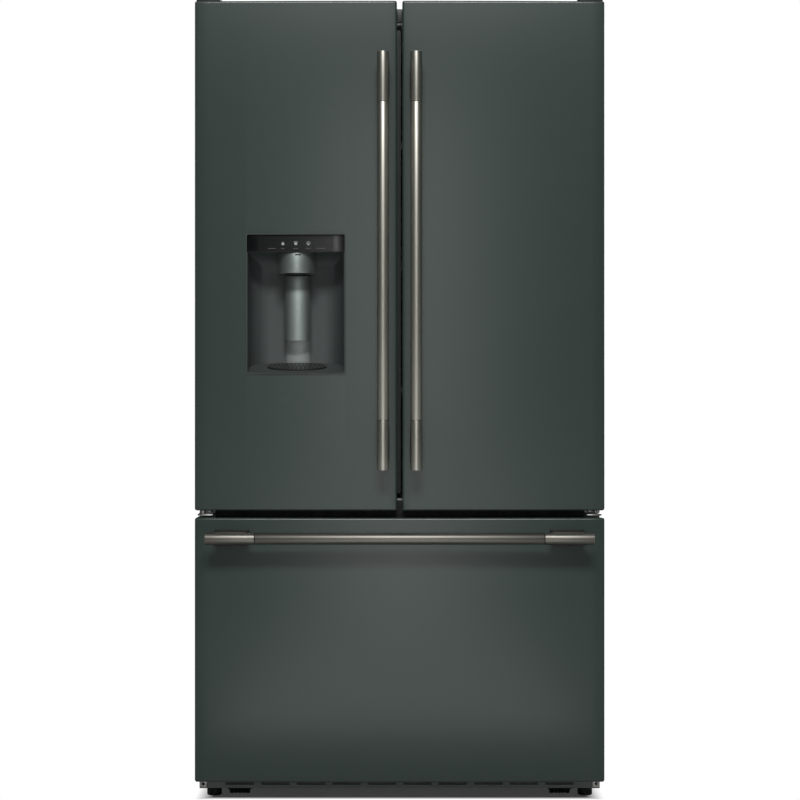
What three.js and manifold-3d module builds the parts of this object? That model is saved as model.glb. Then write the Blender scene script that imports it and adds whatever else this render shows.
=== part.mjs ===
import * as THREE from "three";
import { mergeVertices } from "three/addons/utils/BufferGeometryUtils.js";
import Module from "manifold-3d";

// French door refrigerator, 36-inch class: two doors above one freezer drawer, with an ice and
// water dispenser in the left door. Millimetres, +X to the right, +Z up, the front towards -Y.
// The origin is on the floor, under the middle of the overall depth and width.

const wasm = await Module();
wasm.setup();

// Driving dimensions
const halfWidth = 454; // half the width across both doors
const gap = 0.3; // left between pieces that touch
const backMost = 445; // rear face of the machine cover

const shell = { half: 451, front: -298, back: 437, bottom: 50.3, top: 1776, sheet: 3, lip: 26 };
const front = { crown: -383, back: -308, bow: 7, edge: 6, sheet: 2.5 };
const door = { inner: 5.8, outer: halfWidth, bottom: 649.5, top: 1778, pivotX: 437, pivotY: -345 };
const drawer = { bottom: 48, top: 633.5 };
const fresh = { half: 405, back: 330, bottom: 672, top: 1740, wall: 3 };
const freezer = { half: 395, back: 330, bottom: 120, top: 600, wall: 3, stepY: 140, stepZ: 280 };
const rail = { bottom: 612, top: 668, depth: 16 };
const machine = { top: 252, front: 150 };
const base = { bottom: 19.5, plate: 46, top: 50, rail: 12 };
const handle = { radius: 13, y: -432, postAt: 56, postLong: 75, postWide: 31 };
const doorHandle = { x: 36.4, bottom: 740.7, top: 1655.6 };
const drawerHandle = { z: 591, half: 426 };
const seal = { wide: 14, outer: 430, inner: 13, bottom: 655, top: 1759 };
const dispenser = { x: -229.7, half: 110, bottom: 952.4, top: 1261.8, panel: 36.5, back: -282 };
const mullion = { x: -30, y: -296, left: -33, right: 0.5, thick: 20, bottom: 684, top: 1728 };
const glassShelf = { half: 404.4, front: -185, back: 295, thick: 8, heights: [1480, 1200], cover: 915 };
const ledge = { inner: 396, front: -180, back: 290, high: 10 };
const crisper = { near: 5.6, far: 388, front: -188, back: 288, bottom: 673, top: 903, wall: 4 };
const rim = { near: 62, far: 400, bottom: 690, top: 1725, wide: 15, back: -240 };
const bin = { near: 82, far: 380, front: -304, back: -206, low: [712, 860], high: [1330, 1450] };
const iceBox = { bottom: 1330, top: 1640 };
const slide = { inner: 386, outer: 394.7, bottom: 334, top: 366, front: -290, back: 250, lip: 5 };
const runner = { inner: 380, outer: 391.4, bottom: 340, top: 360, back: 170 };
const freezerTray = { half: 362, front: -285, back: 115, bottom: 128, top: 364, flange: 385 };
const basket = { half: 378, front: -262, back: 130, bottom: 385, top: 560, flange: 392, flangeTop: 479.5 };
const hinge = { near: 402, arm: 425, far: 447, pin: 4, top: 1783, front: -358, rear: -200 };
const cover = { near: 398, far: 451, front: -366, rear: -190, top: 1791, wall: 3 };
const filter = { x: 300, z: 1690, radius: 30, front: -169, back: 63 };
const legs = { x: 420, y: -272, footRadius: 16.5, footHigh: 18, stemRadius: 5, stemTop: 60 };
const rollers = { x: 363, frontY: -262, rearY: 396, width: 45, height: 21, frontRadius: 20, rearRadius: 21 };

// ---- small helpers: closed geometries in, one solid out ----

function solid(geometry) {
  const bare = geometry.index ? geometry.toNonIndexed() : geometry.clone();
  bare.deleteAttribute("normal");
  bare.deleteAttribute("uv");
  const merged = mergeVertices(bare, 1e-3);
  const mesh = new wasm.Mesh({
    numProp: 3,
    vertProperties: new Float32Array(merged.attributes.position.array),
    triVerts: new Uint32Array(merged.index.array),
  });
  return new wasm.Manifold(mesh);
}

function box(x0, x1, y0, y1, z0, z1) {
  const geometry = new THREE.BoxGeometry(Math.abs(x1 - x0), y1 - y0, z1 - z0);
  return solid(geometry.translate((x0 + x1) / 2, (y0 + y1) / 2, (z0 + z1) / 2));
}

// A cylinder centred at a point, along "x", "y" or "z".
function rod(axis, radius, length, x, y, z, sides = 20) {
  const geometry = new THREE.CylinderGeometry(radius, radius, length, sides);
  if (axis === "x") geometry.rotateZ(-Math.PI / 2);
  if (axis === "z") geometry.rotateX(Math.PI / 2);
  return solid(geometry.translate(x, y, z));
}

// A turned body: [radius, height] points from the axis back to the axis, standing along Z.
function turned(points, x, y, sides = 24) {
  const profile = points.map(([r, h]) => new THREE.Vector2(r, h));
  return solid(new THREE.LatheGeometry(profile, sides).rotateX(Math.PI / 2).translate(x, y, 0));
}

function join(first, ...others) {
  return others.reduce((whole, piece) => whole.add(piece), first);
}

function cut(first, ...others) {
  return others.reduce((whole, piece) => whole.subtract(piece), first);
}

// A frame: a box with a smaller box taken through it along Y.
function ring(x0, x1, z0, z1, wide, y0, y1) {
  const hole = box(x0 + wide, x1 - wide, y0 - 1, y1 + 1, z0 + wide, z1 - wide);
  return box(x0, x1, y0, y1, z0, z1).subtract(hole);
}

// An open-topped tray or bin.
function tray(x0, x1, y0, y1, z0, z1, wall = 3) {
  const inside = box(x0 + wall, x1 - wall, y0 + wall, y1 - wall, z0 + wall, z1 + 1);
  return box(x0, x1, y0, y1, z0, z1).subtract(inside);
}

// X range of a piece drawn for the left, mirrored for the right (side is -1 or 1).
function span(side, near, far) {
  return side < 0 ? [-far, -near] : [near, far];
}

const root = new THREE.Group();

function place(name, body, color, roughness, metalness) {
  const mesh = body.getMesh();
  const geometry = new THREE.BufferGeometry();
  geometry.setAttribute("position", new THREE.BufferAttribute(mesh.vertProperties, 3));
  geometry.setIndex(new THREE.BufferAttribute(mesh.triVerts, 1));
  geometry.computeVertexNormals();
  const material = new THREE.MeshStandardMaterial({ color, roughness, metalness });
  const piece = new THREE.Mesh(geometry, material);
  piece.name = name;
  root.add(piece);
}

const greenPaint = [0x3d4a46, 0.45, 0.3];
const pewter = [0x78746c, 0.35, 0.9];
const steel = [0x9a9c9c, 0.4, 0.9];
const darkPlastic = [0x1c1d1e, 0.4, 0.0];
const whitePlastic = [0xe6e8e8, 0.5, 0.0];
const greyPlastic = [0x8a8f90, 0.5, 0.0];
const clearPlastic = [0xcfdcdd, 0.15, 0.0];
const rubber = [0x4a4d4e, 0.8, 0.0];
const foamColour = [0xe8d9a0, 0.95, 0.0];

// ---- the bowed front that the doors, the drawer and the dispenser share ----

const bowRadius = (halfWidth ** 2 + front.bow ** 2) / (2 * front.bow);

function frontY(x) {
  return front.crown + bowRadius - Math.sqrt(bowRadius ** 2 - x ** 2);
}

// Everything behind the bowed front between two X values, rounded at its vertical edges.
function behindFront(x0, x1, z0, z1, offset, back, edge) {
  const shape = new THREE.Shape();
  const steps = Math.max(4, Math.round((x1 - x0) / 60));
  shape.moveTo(x0, back);
  shape.lineTo(x0, frontY(x0) + offset + edge);
  shape.quadraticCurveTo(x0, frontY(x0) + offset, x0 + edge, frontY(x0 + edge) + offset);
  for (let i = 1; i <= steps; i += 1) {
    const x = x0 + edge + ((x1 - x0 - 2 * edge) * i) / steps;
    shape.lineTo(x, frontY(x) + offset);
  }
  shape.quadraticCurveTo(x1, frontY(x1) + offset, x1, frontY(x1) + offset + edge);
  shape.lineTo(x1, back);
  shape.closePath();
  const options = { depth: z1 - z0, bevelEnabled: false, curveSegments: 4 };
  return solid(new THREE.ExtrudeGeometry(shape, options).translate(0, 0, z0));
}

// A folded sheet front: bowed face with four returns, open at the back.
function frontPan(x0, x1, z0, z1) {
  const t = front.sheet;
  const outside = behindFront(x0, x1, z0, z1, 0, front.back, front.edge);
  const inside = behindFront(x0 + t, x1 - t, z0 + t, z1 - t, t, front.back + 5, front.edge - 1);
  return outside.subtract(inside);
}

// The moulded inner panel that closes a front pan, with a raised rim around its middle.
function innerPanel(x0, x1, z0, z1, rimX0, rimX1, rimZ0, rimZ1, rimWide, rimBack) {
  const t = front.sheet + gap;
  const plate = box(x0 + t, x1 - t, front.back - 4, front.back, z0 + t, z1 - t);
  return join(plate, ring(rimX0, rimX1, rimZ0, rimZ1, rimWide, front.back - 1, rimBack));
}

// A round bar along Z or X on two oblong posts, which end just clear of the bowed front.
function barHandle(along, centre, from, to) {
  const middle = (from + to) / 2;
  const reach = [handle.y, front.crown + 13];
  const posts = [from + handle.postAt, to - handle.postAt];
  const halfLong = handle.postLong / 2;
  const halfWide = handle.postWide / 2;
  const upright = along === "z";
  let body = upright
    ? rod("z", handle.radius, to - from, centre, handle.y, middle)
    : rod("x", handle.radius, to - from, middle, handle.y, centre);
  for (const at of posts) {
    const ends = [at - halfLong, at + halfLong];
    const sides = [centre - halfWide, centre + halfWide];
    body = upright
      ? body.add(box(...sides, ...reach, ...ends))
      : body.add(box(...ends, ...reach, ...sides));
  }
  return body.subtract(behindFront(-halfWidth, halfWidth, 0, door.top, -gap, 0, front.edge));
}

// ---- the cabinet: steel wrap, rear panel, foam, liners and base ----

function cabinetWrap() {
  const { half, sheet, lip, top, bottom } = shell;
  const outside = box(-half, half, shell.front, shell.back, bottom, top);
  const inside = box(-half + sheet, half - sheet, shell.front + sheet, shell.back + 1, 0, top - sheet);
  const mouth = box(-half + lip, half - lip, shell.front - 1, 0, 0, top - lip + 5);
  return cut(outside, inside, mouth);
}

function freezerSpace(grow) {
  const half = freezer.half + grow;
  const low = box(-half, half, -400, freezer.stepY + grow, freezer.bottom - grow, freezer.top + grow);
  const high = box(-half, half, -400, freezer.back + grow, freezer.stepZ - grow, freezer.top + grow);
  return low.add(high);
}

function freshSpace(grow) {
  const half = fresh.half + grow;
  return box(-half, half, -400, fresh.back + grow, fresh.bottom - grow, fresh.top + grow);
}

function aheadOf(y) {
  return box(-500, 500, -900, y, -10, 1900);
}

function liner(space, wall, flangeBottom, flangeTop) {
  const flangeHalf = shell.half - shell.lip - gap;
  const flange = box(-flangeHalf, flangeHalf, shell.front, shell.front + wall, flangeBottom, flangeTop);
  return cut(join(space(wall).subtract(aheadOf(shell.front)), flange), space(0));
}

function freshLiner() {
  let body = liner(freshSpace, fresh.wall, rail.top + gap, shell.top - shell.lip + 5 - gap);
  const outer = fresh.half + 1;
  for (const side of [-1, 1]) {
    for (const z of [...glassShelf.heights, glassShelf.cover]) {
      const [x0, x1] = span(side, ledge.inner, outer);
      body = body.add(box(x0, x1, ledge.front, ledge.back, z - ledge.high, z - gap));
    }
    // A cheek fills the side of the liner beside each crisper, up to the lowest ledge.
    const [x0, x1] = span(side, crisper.far + 1, outer);
    const cheekTop = glassShelf.cover - ledge.high + 1;
    body = body.add(box(x0, x1, ledge.front, ledge.back, fresh.bottom - 1, cheekTop));
  }
  // The boss that the water filter plugs into, under the ceiling.
  return body.add(box(262, 338, filter.back + 1, filter.back + 47, 1652, fresh.top + 1));
}

function freezerLiner() {
  let body = liner(freezerSpace, freezer.wall, 70, rail.bottom - gap);
  const ledgeTop = basket.flangeTop - 3.5;
  for (const side of [-1, 1]) {
    const [x0, x1] = span(side, 386, freezer.half + 1);
    body = body.add(box(x0, x1, -280, 255, ledgeTop - 6, ledgeTop));
  }
  return body;
}

function foamBlock() {
  const block = box(-447.7, 447.7, -280, 436.7, 66, 1772.7);
  const compartment = box(-460, 460, machine.front, 440, 0, machine.top);
  const edge = fresh.wall + gap;
  return cut(block, freshSpace(edge), freezerSpace(edge), compartment);
}

function baseFrame() {
  const { half, front: y0, back: y1 } = shell;
  let body = box(-half, half, y0, y1, base.plate, base.top);
  for (const side of [-1, 1]) {
    body = body.add(box(side * 434, side * half, y0 - 3, y1, base.bottom, base.top));
    body = body.subtract(rod("z", 5.5, 20, side * 420, legs.y, 48, 16));
  }
  body = body.add(box(-435, 435, y0, y0 + base.rail, base.bottom, base.top));
  body = body.add(box(-435, 435, y1 - base.rail, y1, base.bottom, base.top));
  const [inside, outside] = [rollers.width / 2 + 0.5, rollers.width / 2 + 4.5];
  for (const { x, y } of rollerPlaces) {
    for (const side of [-1, 1]) {
      const [near, far] = span(side, inside, outside);
      body = body.add(box(x + near, x + far, y - 13, y + 13, 12, base.top));
    }
    body = body.add(rod("x", 4, 2 * outside - 2, x, y, rollers.height, 12));
  }
  return body;
}

const rollerPlaces = [
  { name: "front_left_roller", x: -rollers.x, y: rollers.frontY, radius: rollers.frontRadius },
  { name: "front_right_roller", x: rollers.x, y: rollers.frontY, radius: rollers.frontRadius },
  { name: "rear_left_roller", x: -rollers.x, y: rollers.rearY, radius: rollers.rearRadius },
  { name: "rear_right_roller", x: rollers.x, y: rollers.rearY, radius: rollers.rearRadius },
];

function levellingLeg(side) {
  const { footRadius, footHigh, stemRadius, stemTop } = legs;
  const profile = [[0, 0], [footRadius, 0], [footRadius, footHigh], [stemRadius, footHigh + 3]];
  return turned([...profile, [stemRadius, stemTop], [0, stemTop]], side * legs.x, legs.y, 20);
}

// Rows of slots through a panel that faces along Y.
function slotted(panel, x0, x1, z0, z1, count, rows, y0, y1) {
  const pitch = (x1 - x0) / count;
  const rowPitch = (z1 - z0) / rows;
  let body = panel;
  for (let row = 0; row < rows; row += 1) {
    const z = z0 + rowPitch * row;
    for (let i = 0; i < count; i += 1) {
      const x = x0 + pitch * i;
      body = body.subtract(box(x + 8, x + pitch - 8, y0, y1, z + 0.2 * rowPitch, z + 0.8 * rowPitch));
    }
  }
  return body;
}

place("cabinet_wrap", cabinetWrap(), ...greenPaint);
place("rear_panel", box(-449, 449, shell.back + gap, 441, machine.top + 3, 1774), ...steel);
place("cabinet_foam", foamBlock(), ...foamColour);
place("fresh_food_liner", freshLiner(), ...whitePlastic);
place("freezer_liner", freezerLiner(), ...whitePlastic);
const railHalf = shell.half - shell.lip - gap;
const centreRail = box(-railHalf, railHalf, shell.front, shell.front + rail.depth, rail.bottom, rail.top);
place("centre_rail", centreRail, ...greenPaint);
place("base_frame", baseFrame(), ...steel);

const toePanel = box(-433.7, 433.7, -302, shell.front - gap, 20, 46);
place("toe_grille", slotted(toePanel, -400, 400, 24, 42, 10, 1, -310, -290), ...darkPlastic);
const coverPanel = box(-449, 449, shell.back + gap, backMost, base.top + 2, machine.top + 2);
const machineCover = slotted(coverPanel, -400, 400, 80, 225, 6, 8, 430, 450);
place("machine_cover", machineCover, ...darkPlastic);

for (const { name, x, y, radius } of rollerPlaces) {
  const bore = rod("x", 4.4, 60, x, y, rollers.height, 12);
  place(name, rod("x", radius, rollers.width, x, y, rollers.height).subtract(bore), ...rubber);
}
place("left_leg", levellingLeg(-1), ...darkPlastic);
place("right_leg", levellingLeg(1), ...darkPlastic);

// ---- the cooling system, low at the rear and behind the freezer's back cover ----

function compressor() {
  const shellProfile = [[0, 62], [58, 66], [75, 84], [75, 178], [56, 208], [0, 216]];
  const body = turned(shellProfile, -230, 295);
  return join(body, box(-320, -140, 235, 355, 50.6, 66), rod("z", 16, 30, -175, 330, 205, 12));
}

function condenser() {
  const [x0, x1, y0, y1, z0, z1] = [90, 350, 200, 330, 62, 190];
  let body = join(box(x0, x1, y0 + 20, y0 + 32, 70, 82), box(x0, x1, y1 - 32, y1 - 20, 170, 182));
  const fins = 11;
  for (let i = 0; i < fins; i += 1) {
    const x = x0 + ((x1 - x0 - 6) * i) / (fins - 1);
    body = body.add(box(x, x + 6, y0, y1, z0, z1));
  }
  return body.add(box(x0, x1, y0, y1, 50.6, z0 + 2));
}

// A hub with flat pitched blades, standing along Z at the origin.
function fanWheel(radius, hub, deep, blades) {
  let body = solid(new THREE.CylinderGeometry(hub, hub, deep, 16).rotateX(Math.PI / 2));
  for (let i = 0; i < blades; i += 1) {
    const blade = new THREE.BoxGeometry(radius - hub / 2, deep * 1.1, 2);
    blade.rotateX(0.55).translate((radius + hub / 2) / 2, 0, 0).rotateZ((2 * Math.PI * i) / blades);
    body = body.add(solid(blade));
  }
  return body;
}

const condenserFan = fanWheel(56, 16, 22, 5).rotate([0, 90, 0]).translate([0, 265, 128]);
const evaporatorFan = fanWheel(50, 15, 18, 5).rotate([90, 0, 0]).translate([0, 282, 440]);
const evaporatorPanel = box(-380, 380, 262, 266, 285, 595).subtract(rod("y", 56, 30, 0, 264, 440, 32));

place("compressor", compressor(), ...darkPlastic);
place("condenser", condenser(), ...steel);
place("condenser_fan", condenserFan, ...darkPlastic);
place("evaporator_cover", slotted(evaporatorPanel, -340, -100, 540, 580, 3, 1, 250, 270), ...whitePlastic);
place("evaporator_fan", evaporatorFan, ...darkPlastic);

// ---- inside the fresh food compartment ----

function shelfPlate(z) {
  const { half, front: y0, back: y1, thick } = glassShelf;
  return box(-half, half, y0, y1, z, z + thick);
}

const tower = box(-60, 60, glassShelf.back + 5, fresh.back - gap, 940, 1700);
let ventedTower = tower;
for (const z of [1010, 1130, 1290, 1410, 1560, 1640]) {
  ventedTower = ventedTower.subtract(box(-40, 40, 290, 312, z, z + 12));
}

place("upper_shelf", shelfPlate(glassShelf.heights[0]), ...clearPlastic);
place("middle_shelf", shelfPlate(glassShelf.heights[1]), ...clearPlastic);
place("crisper_cover", shelfPlate(glassShelf.cover), ...clearPlastic);
place("air_tower", ventedTower, ...whitePlastic);
const filterLong = filter.back - filter.front;
const filterBody = rod("y", filter.radius, filterLong, filter.x, filter.front + filterLong / 2, filter.z, 24);
const gripHeight = [filter.z - 28, filter.z + 28];
const filterGrip = box(filter.x - 3, filter.x + 3, filter.front - 11, filter.front + 1, ...gripHeight);
place("water_filter", filterBody.add(filterGrip), ...whitePlastic);

for (const side of [-1, 1]) {
  const { near, far, front: y0, back: y1, bottom, top, wall } = crisper;
  const body = tray(...span(side, near, far), y0, y1, bottom, top, wall);
  place(side < 0 ? "left_crisper" : "right_crisper", body, ...clearPlastic);
}

// ---- hinges: the top pair and the pair between the doors and the drawer ----

function pivotPin(side, z0, z1) {
  return rod("z", hinge.pin, z1 - z0, side * door.pivotX, door.pivotY, (z0 + z1) / 2, 16);
}

function topHinge(side) {
  const { near, arm, far, top, front: tip, rear } = hinge;
  const pad = box(...span(side, near, far), rear - 90, rear, shell.top + gap, top);
  const reach = box(...span(side, arm, far), tip, rear - 80, door.top + 1, top);
  return join(pad, reach, pivotPin(side, door.top - 18, door.top + 2));
}

function hingeCover(side) {
  const { near, far, front: tip, rear, top, wall } = cover;
  const onCabinet = box(...span(side, near, far), shell.front + 1, rear, shell.top + gap, top);
  const overDoor = box(...span(side, near, far), tip, shell.front + 2, door.top + 1, top);
  const hollow = box(...span(side, near + wall, far - wall), tip + wall, rear - wall, 1770, top - wall);
  return onCabinet.add(overDoor).subtract(hollow);
}

function centreHinge(side) {
  const across = span(side, 416, 449);
  const plate = box(...across, hinge.front, shell.front - gap, 637, 641);
  const flange = box(...across, shell.front - 4, shell.front - gap, 634, 650);
  return join(plate, flange, pivotPin(side, 640, 668));
}

for (const side of [-1, 1]) {
  const hand = side < 0 ? "left" : "right";
  place(`${hand}_top_hinge`, topHinge(side), ...steel);
  place(`${hand}_hinge_cover`, hingeCover(side), ...darkPlastic);
  place(`${hand}_centre_hinge`, centreHinge(side), ...steel);
}

// ---- the two doors ----

function pinHoles(side) {
  return rod("z", hinge.pin + 0.6, 1200, side * door.pivotX, door.pivotY, (door.bottom + door.top) / 2, 16);
}

function doorSkin(side) {
  return frontPan(...span(side, door.inner, door.outer), door.bottom, door.top).subtract(pinHoles(side));
}

function doorLiner(side) {
  const raised = [...span(side, rim.near, rim.far), rim.bottom, rim.top, rim.wide, rim.back];
  return innerPanel(...span(side, door.inner, door.outer), door.bottom, door.top, ...raised);
}

function doorSeal(side) {
  const [x0, x1] = span(side, seal.inner, seal.outer);
  return ring(x0, x1, seal.bottom, seal.top, seal.wide, front.back + gap, shell.front - gap);
}

function doorBin(side, z0, z1) {
  return tray(...span(side, bin.near, bin.far), bin.front, bin.back, z0, z1);
}

// The left skin and panel have a window and a bulge for the dispenser's housing.
const window = {
  x0: dispenser.x - dispenser.half,
  x1: dispenser.x + dispenser.half,
  z0: dispenser.bottom,
  z1: dispenser.top,
};

function leftSkin() {
  const { x0, x1, z0, z1 } = window;
  return doorSkin(-1).subtract(box(x0, x1, -400, -360, z0, z1));
}

// Small eyes above and below the flap carry its pins.
function flapEye(z0) {
  const eye = box(-66, -27.3, front.back - 1, -285, z0, z0 + 6.5);
  return eye.subtract(rod("z", 1.9, 30, mullion.x, mullion.y, z0, 12));
}

function leftLiner() {
  const { x0, x1, z0, z1 } = window;
  const bulge = box(x0 - 14, x1 + 14, front.back - 1, -268, z0 - 14, z1 + 14);
  const pocket = box(x0 - 4, x1 + 4, -330, -278, z0 - 4, z1 + 4);
  const panel = doorLiner(-1).add(bulge).subtract(pocket);
  return join(panel, flapEye(mullion.top + 1.5), flapEye(mullion.bottom - 8));
}

function mullionFlap() {
  const bar = box(
    mullion.left, mullion.right, shell.front + gap, shell.front + gap + mullion.thick,
    mullion.bottom, mullion.top,
  );
  const pins = rod("z", 1.5, mullion.top - mullion.bottom + 12, mullion.x, mullion.y,
    (mullion.top + mullion.bottom) / 2, 12);
  return bar.add(pins);
}

place("left_door_skin", leftSkin(), ...greenPaint);
place("left_door_liner", leftLiner(), ...whitePlastic);
place("left_door_gasket", doorSeal(-1), ...rubber);
place("left_door_bin", doorBin(-1, ...bin.low), ...clearPlastic);
place("ice_box", doorBin(-1, iceBox.bottom, iceBox.top), ...clearPlastic);
place("left_handle", barHandle("z", -doorHandle.x, doorHandle.bottom, doorHandle.top), ...pewter);
place("mullion_flap", mullionFlap(), ...greyPlastic);

place("right_door_skin", doorSkin(1), ...greenPaint);
place("right_door_liner", doorLiner(1), ...whitePlastic);
place("right_door_gasket", doorSeal(1), ...rubber);
place("right_upper_bin", doorBin(1, ...bin.high), ...clearPlastic);
place("right_lower_bin", doorBin(1, ...bin.low), ...clearPlastic);
place("right_handle", barHandle("z", doorHandle.x, doorHandle.bottom, doorHandle.top), ...pewter);

// ---- the dispenser: housing, control panel, nozzle, paddle and drip tray ----

const niche = { floorFront: 956, floorBack: 978, top: 1222, wall: 3.3, front: -379.5, back: -285 };
const spout = { y: -336, bottom: 1175.5, radius: 41.5, mouth: 36 };
const nicheSlope = Math.atan2(niche.floorBack - niche.floorFront, niche.back - niche.front);

// The rising floor of the niche, as a wedge across its width.
function nicheFloor(x0, x1) {
  const shape = new THREE.Shape();
  shape.moveTo(niche.front - 6, niche.floorFront - 2);
  shape.lineTo(niche.back + 1, niche.floorFront - 2);
  shape.lineTo(niche.back + 1, niche.floorBack);
  shape.lineTo(niche.front, niche.floorFront);
  shape.lineTo(niche.front - 6, niche.floorFront);
  shape.closePath();
  const geometry = new THREE.ExtrudeGeometry(shape, { depth: x1 - x0, bevelEnabled: false });
  geometry.applyMatrix4(new THREE.Matrix4().makeBasis(
    new THREE.Vector3(0, 1, 0), new THREE.Vector3(0, 0, 1), new THREE.Vector3(1, 0, 0),
  ));
  return solid(geometry.translate(x0, 0, 0));
}

function nicheSpace(x0, x1) {
  const shape = new THREE.Shape();
  const corner = 48;
  shape.moveTo(x0, -400);
  shape.lineTo(x1, -400);
  shape.lineTo(x1, niche.back - corner);
  shape.quadraticCurveTo(x1, niche.back, x1 - corner, niche.back);
  shape.lineTo(x0 + corner, niche.back);
  shape.quadraticCurveTo(x0, niche.back, x0, niche.back - corner);
  shape.closePath();
  const options = { depth: niche.top - niche.floorFront, bevelEnabled: false, curveSegments: 5 };
  return solid(new THREE.ExtrudeGeometry(shape, options).translate(0, 0, niche.floorFront));
}

function dispenserHousing() {
  const { x0, x1, z0, z1 } = window;
  const [left, right] = [x0 + niche.wall, x1 - niche.wall];
  const block = box(x0 + gap, x1 - gap, -400, dispenser.back, z0 + gap, z1 - gap);
  const fitted = block.intersect(behindFront(x0 - 20, x1 + 20, z0, z1, 0.5, -200, 1));
  const panelSeat = box(x0 + 0.8, x1 - 0.8, -400, -374.5, z1 - dispenser.panel - 0.6, z1 - 0.6);
  return cut(fitted, nicheSpace(left, right), panelSeat).add(nicheFloor(left - 1, right + 1));
}

function controlPanel() {
  const { x0, x1, z1 } = window;
  const slab = box(x0 + 1.2, x1 - 1.2, -400, -375, z1 - dispenser.panel, z1 - 1);
  return slab.intersect(behindFront(x0 - 20, x1 + 20, 900, 1300, 0.2, -200, 1));
}

// The nozzle's shroud hangs from the niche's ceiling and is open underneath.
function nozzle() {
  const top = niche.top - gap;
  const spot = [dispenser.x, spout.y];
  const shroud = rod("z", spout.radius, top - spout.bottom, ...spot, (top + spout.bottom) / 2, 32);
  return shroud.subtract(rod("z", spout.mouth, 20, ...spot, spout.bottom + 1.5, 32));
}

// The paddle is a curved plate that a glass pushes back, hung from a short axle at its top.
const paddle = { half: 29.2, bottom: 1027, top: 1172, front: -330, back: -312, thick: 4 };
function paddlePlate() {
  const arc = (half, y0, y1) => {
    const shape = new THREE.Shape();
    shape.moveTo(-half, y1);
    for (let i = 0; i <= 12; i += 1) {
      const angle = (Math.PI * i) / 12;
      shape.lineTo(-half * Math.cos(angle), y1 + (y0 - y1) * Math.sin(angle));
    }
    shape.closePath();
    return shape;
  };
  const options = { depth: paddle.top - paddle.bottom, bevelEnabled: false };
  const outer = solid(new THREE.ExtrudeGeometry(arc(paddle.half, paddle.front, paddle.back), options));
  const innerArc = arc(paddle.half - paddle.thick, paddle.front + paddle.thick, paddle.back + 0.5);
  const inner = solid(new THREE.ExtrudeGeometry(innerArc, options).translate(0, 0, -8));
  return outer.subtract(inner).translate([dispenser.x, 0, paddle.bottom]);
}

function dripTray() {
  const plate = new THREE.CylinderGeometry(66, 63, 4, 36).rotateX(Math.PI / 2);
  plate.scale(1, 0.56, 1).rotateX(nicheSlope);
  const floorZ = niche.floorFront + (spout.y - niche.front) * Math.tan(nicheSlope);
  return solid(plate.translate(dispenser.x, spout.y, floorZ + 2 / Math.cos(nicheSlope) + 0.4));
}

place("dispenser_housing", dispenserHousing(), 0x3c4140, 0.35, 0.2);
place("control_panel", controlPanel(), ...darkPlastic);
place("dispenser_nozzle", nozzle(), ...pewter);
place("dispenser_paddle", paddlePlate(), ...pewter);
place("drip_tray", dripTray(), ...darkPlastic);

// ---- the freezer drawer with its slides, bin and upper basket ----

function fixedSlide(side) {
  const { inner, outer, bottom, top, front: y0, back: y1, lip } = slide;
  const channel = box(...span(side, inner, outer), y0, y1, bottom, top);
  const groove = box(...span(side, inner - 1, outer - 2.7), y0 - 1, y1 + 1, bottom + lip, top - lip);
  return channel.subtract(groove);
}

function drawerFrame() {
  const { inner, outer, bottom, top, back } = runner;
  const bars = [-1, 1].map((side) => box(...span(side, inner, outer), front.back + gap, back, bottom, top));
  return join(...bars, box(-inner - 1, inner + 1, back - 10, back, bottom + 5, top - 5));
}

function freezerBin() {
  const { half, front: y0, back: y1, bottom, top, flange } = freezerTray;
  const flanges = [-1, 1].map((side) => box(...span(side, half - 1, flange), y0, y1, runner.top + gap, top));
  return join(tray(-half, half, y0, y1, bottom, top), ...flanges);
}

function freezerBasket() {
  const { half, front: y0, back: y1, bottom, top, flange, flangeTop } = basket;
  const height = [flangeTop - 3.2, flangeTop];
  const flanges = [-1, 1].map((side) => box(...span(side, half - 1, flange), y0, y1, ...height));
  return join(tray(-half, half, y0, y1, bottom, top), ...flanges);
}

function drawerLiner() {
  const raised = [-376, 376, 130, 590, 14, -290];
  return innerPanel(-halfWidth, halfWidth, drawer.bottom, drawer.top, ...raised);
}

const drawerSeal = [-seal.outer, seal.outer, 98, 617, seal.wide, front.back + gap, shell.front - gap];

place("drawer_skin", frontPan(-halfWidth, halfWidth, drawer.bottom, drawer.top), ...greenPaint);
place("drawer_liner", drawerLiner(), ...whitePlastic);
place("drawer_gasket", ring(...drawerSeal), ...rubber);
place("drawer_handle", barHandle("x", drawerHandle.z, -drawerHandle.half, drawerHandle.half), ...pewter);
place("drawer_frame", drawerFrame(), ...steel);
place("freezer_bin", freezerBin(), ...clearPlastic);
place("freezer_basket", freezerBasket(), ...clearPlastic);
place("left_fixed_slide", fixedSlide(-1), ...steel);
place("right_fixed_slide", fixedSlide(1), ...steel);

export default root;
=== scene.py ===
import math

import bpy
from mathutils import Matrix, Vector


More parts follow.
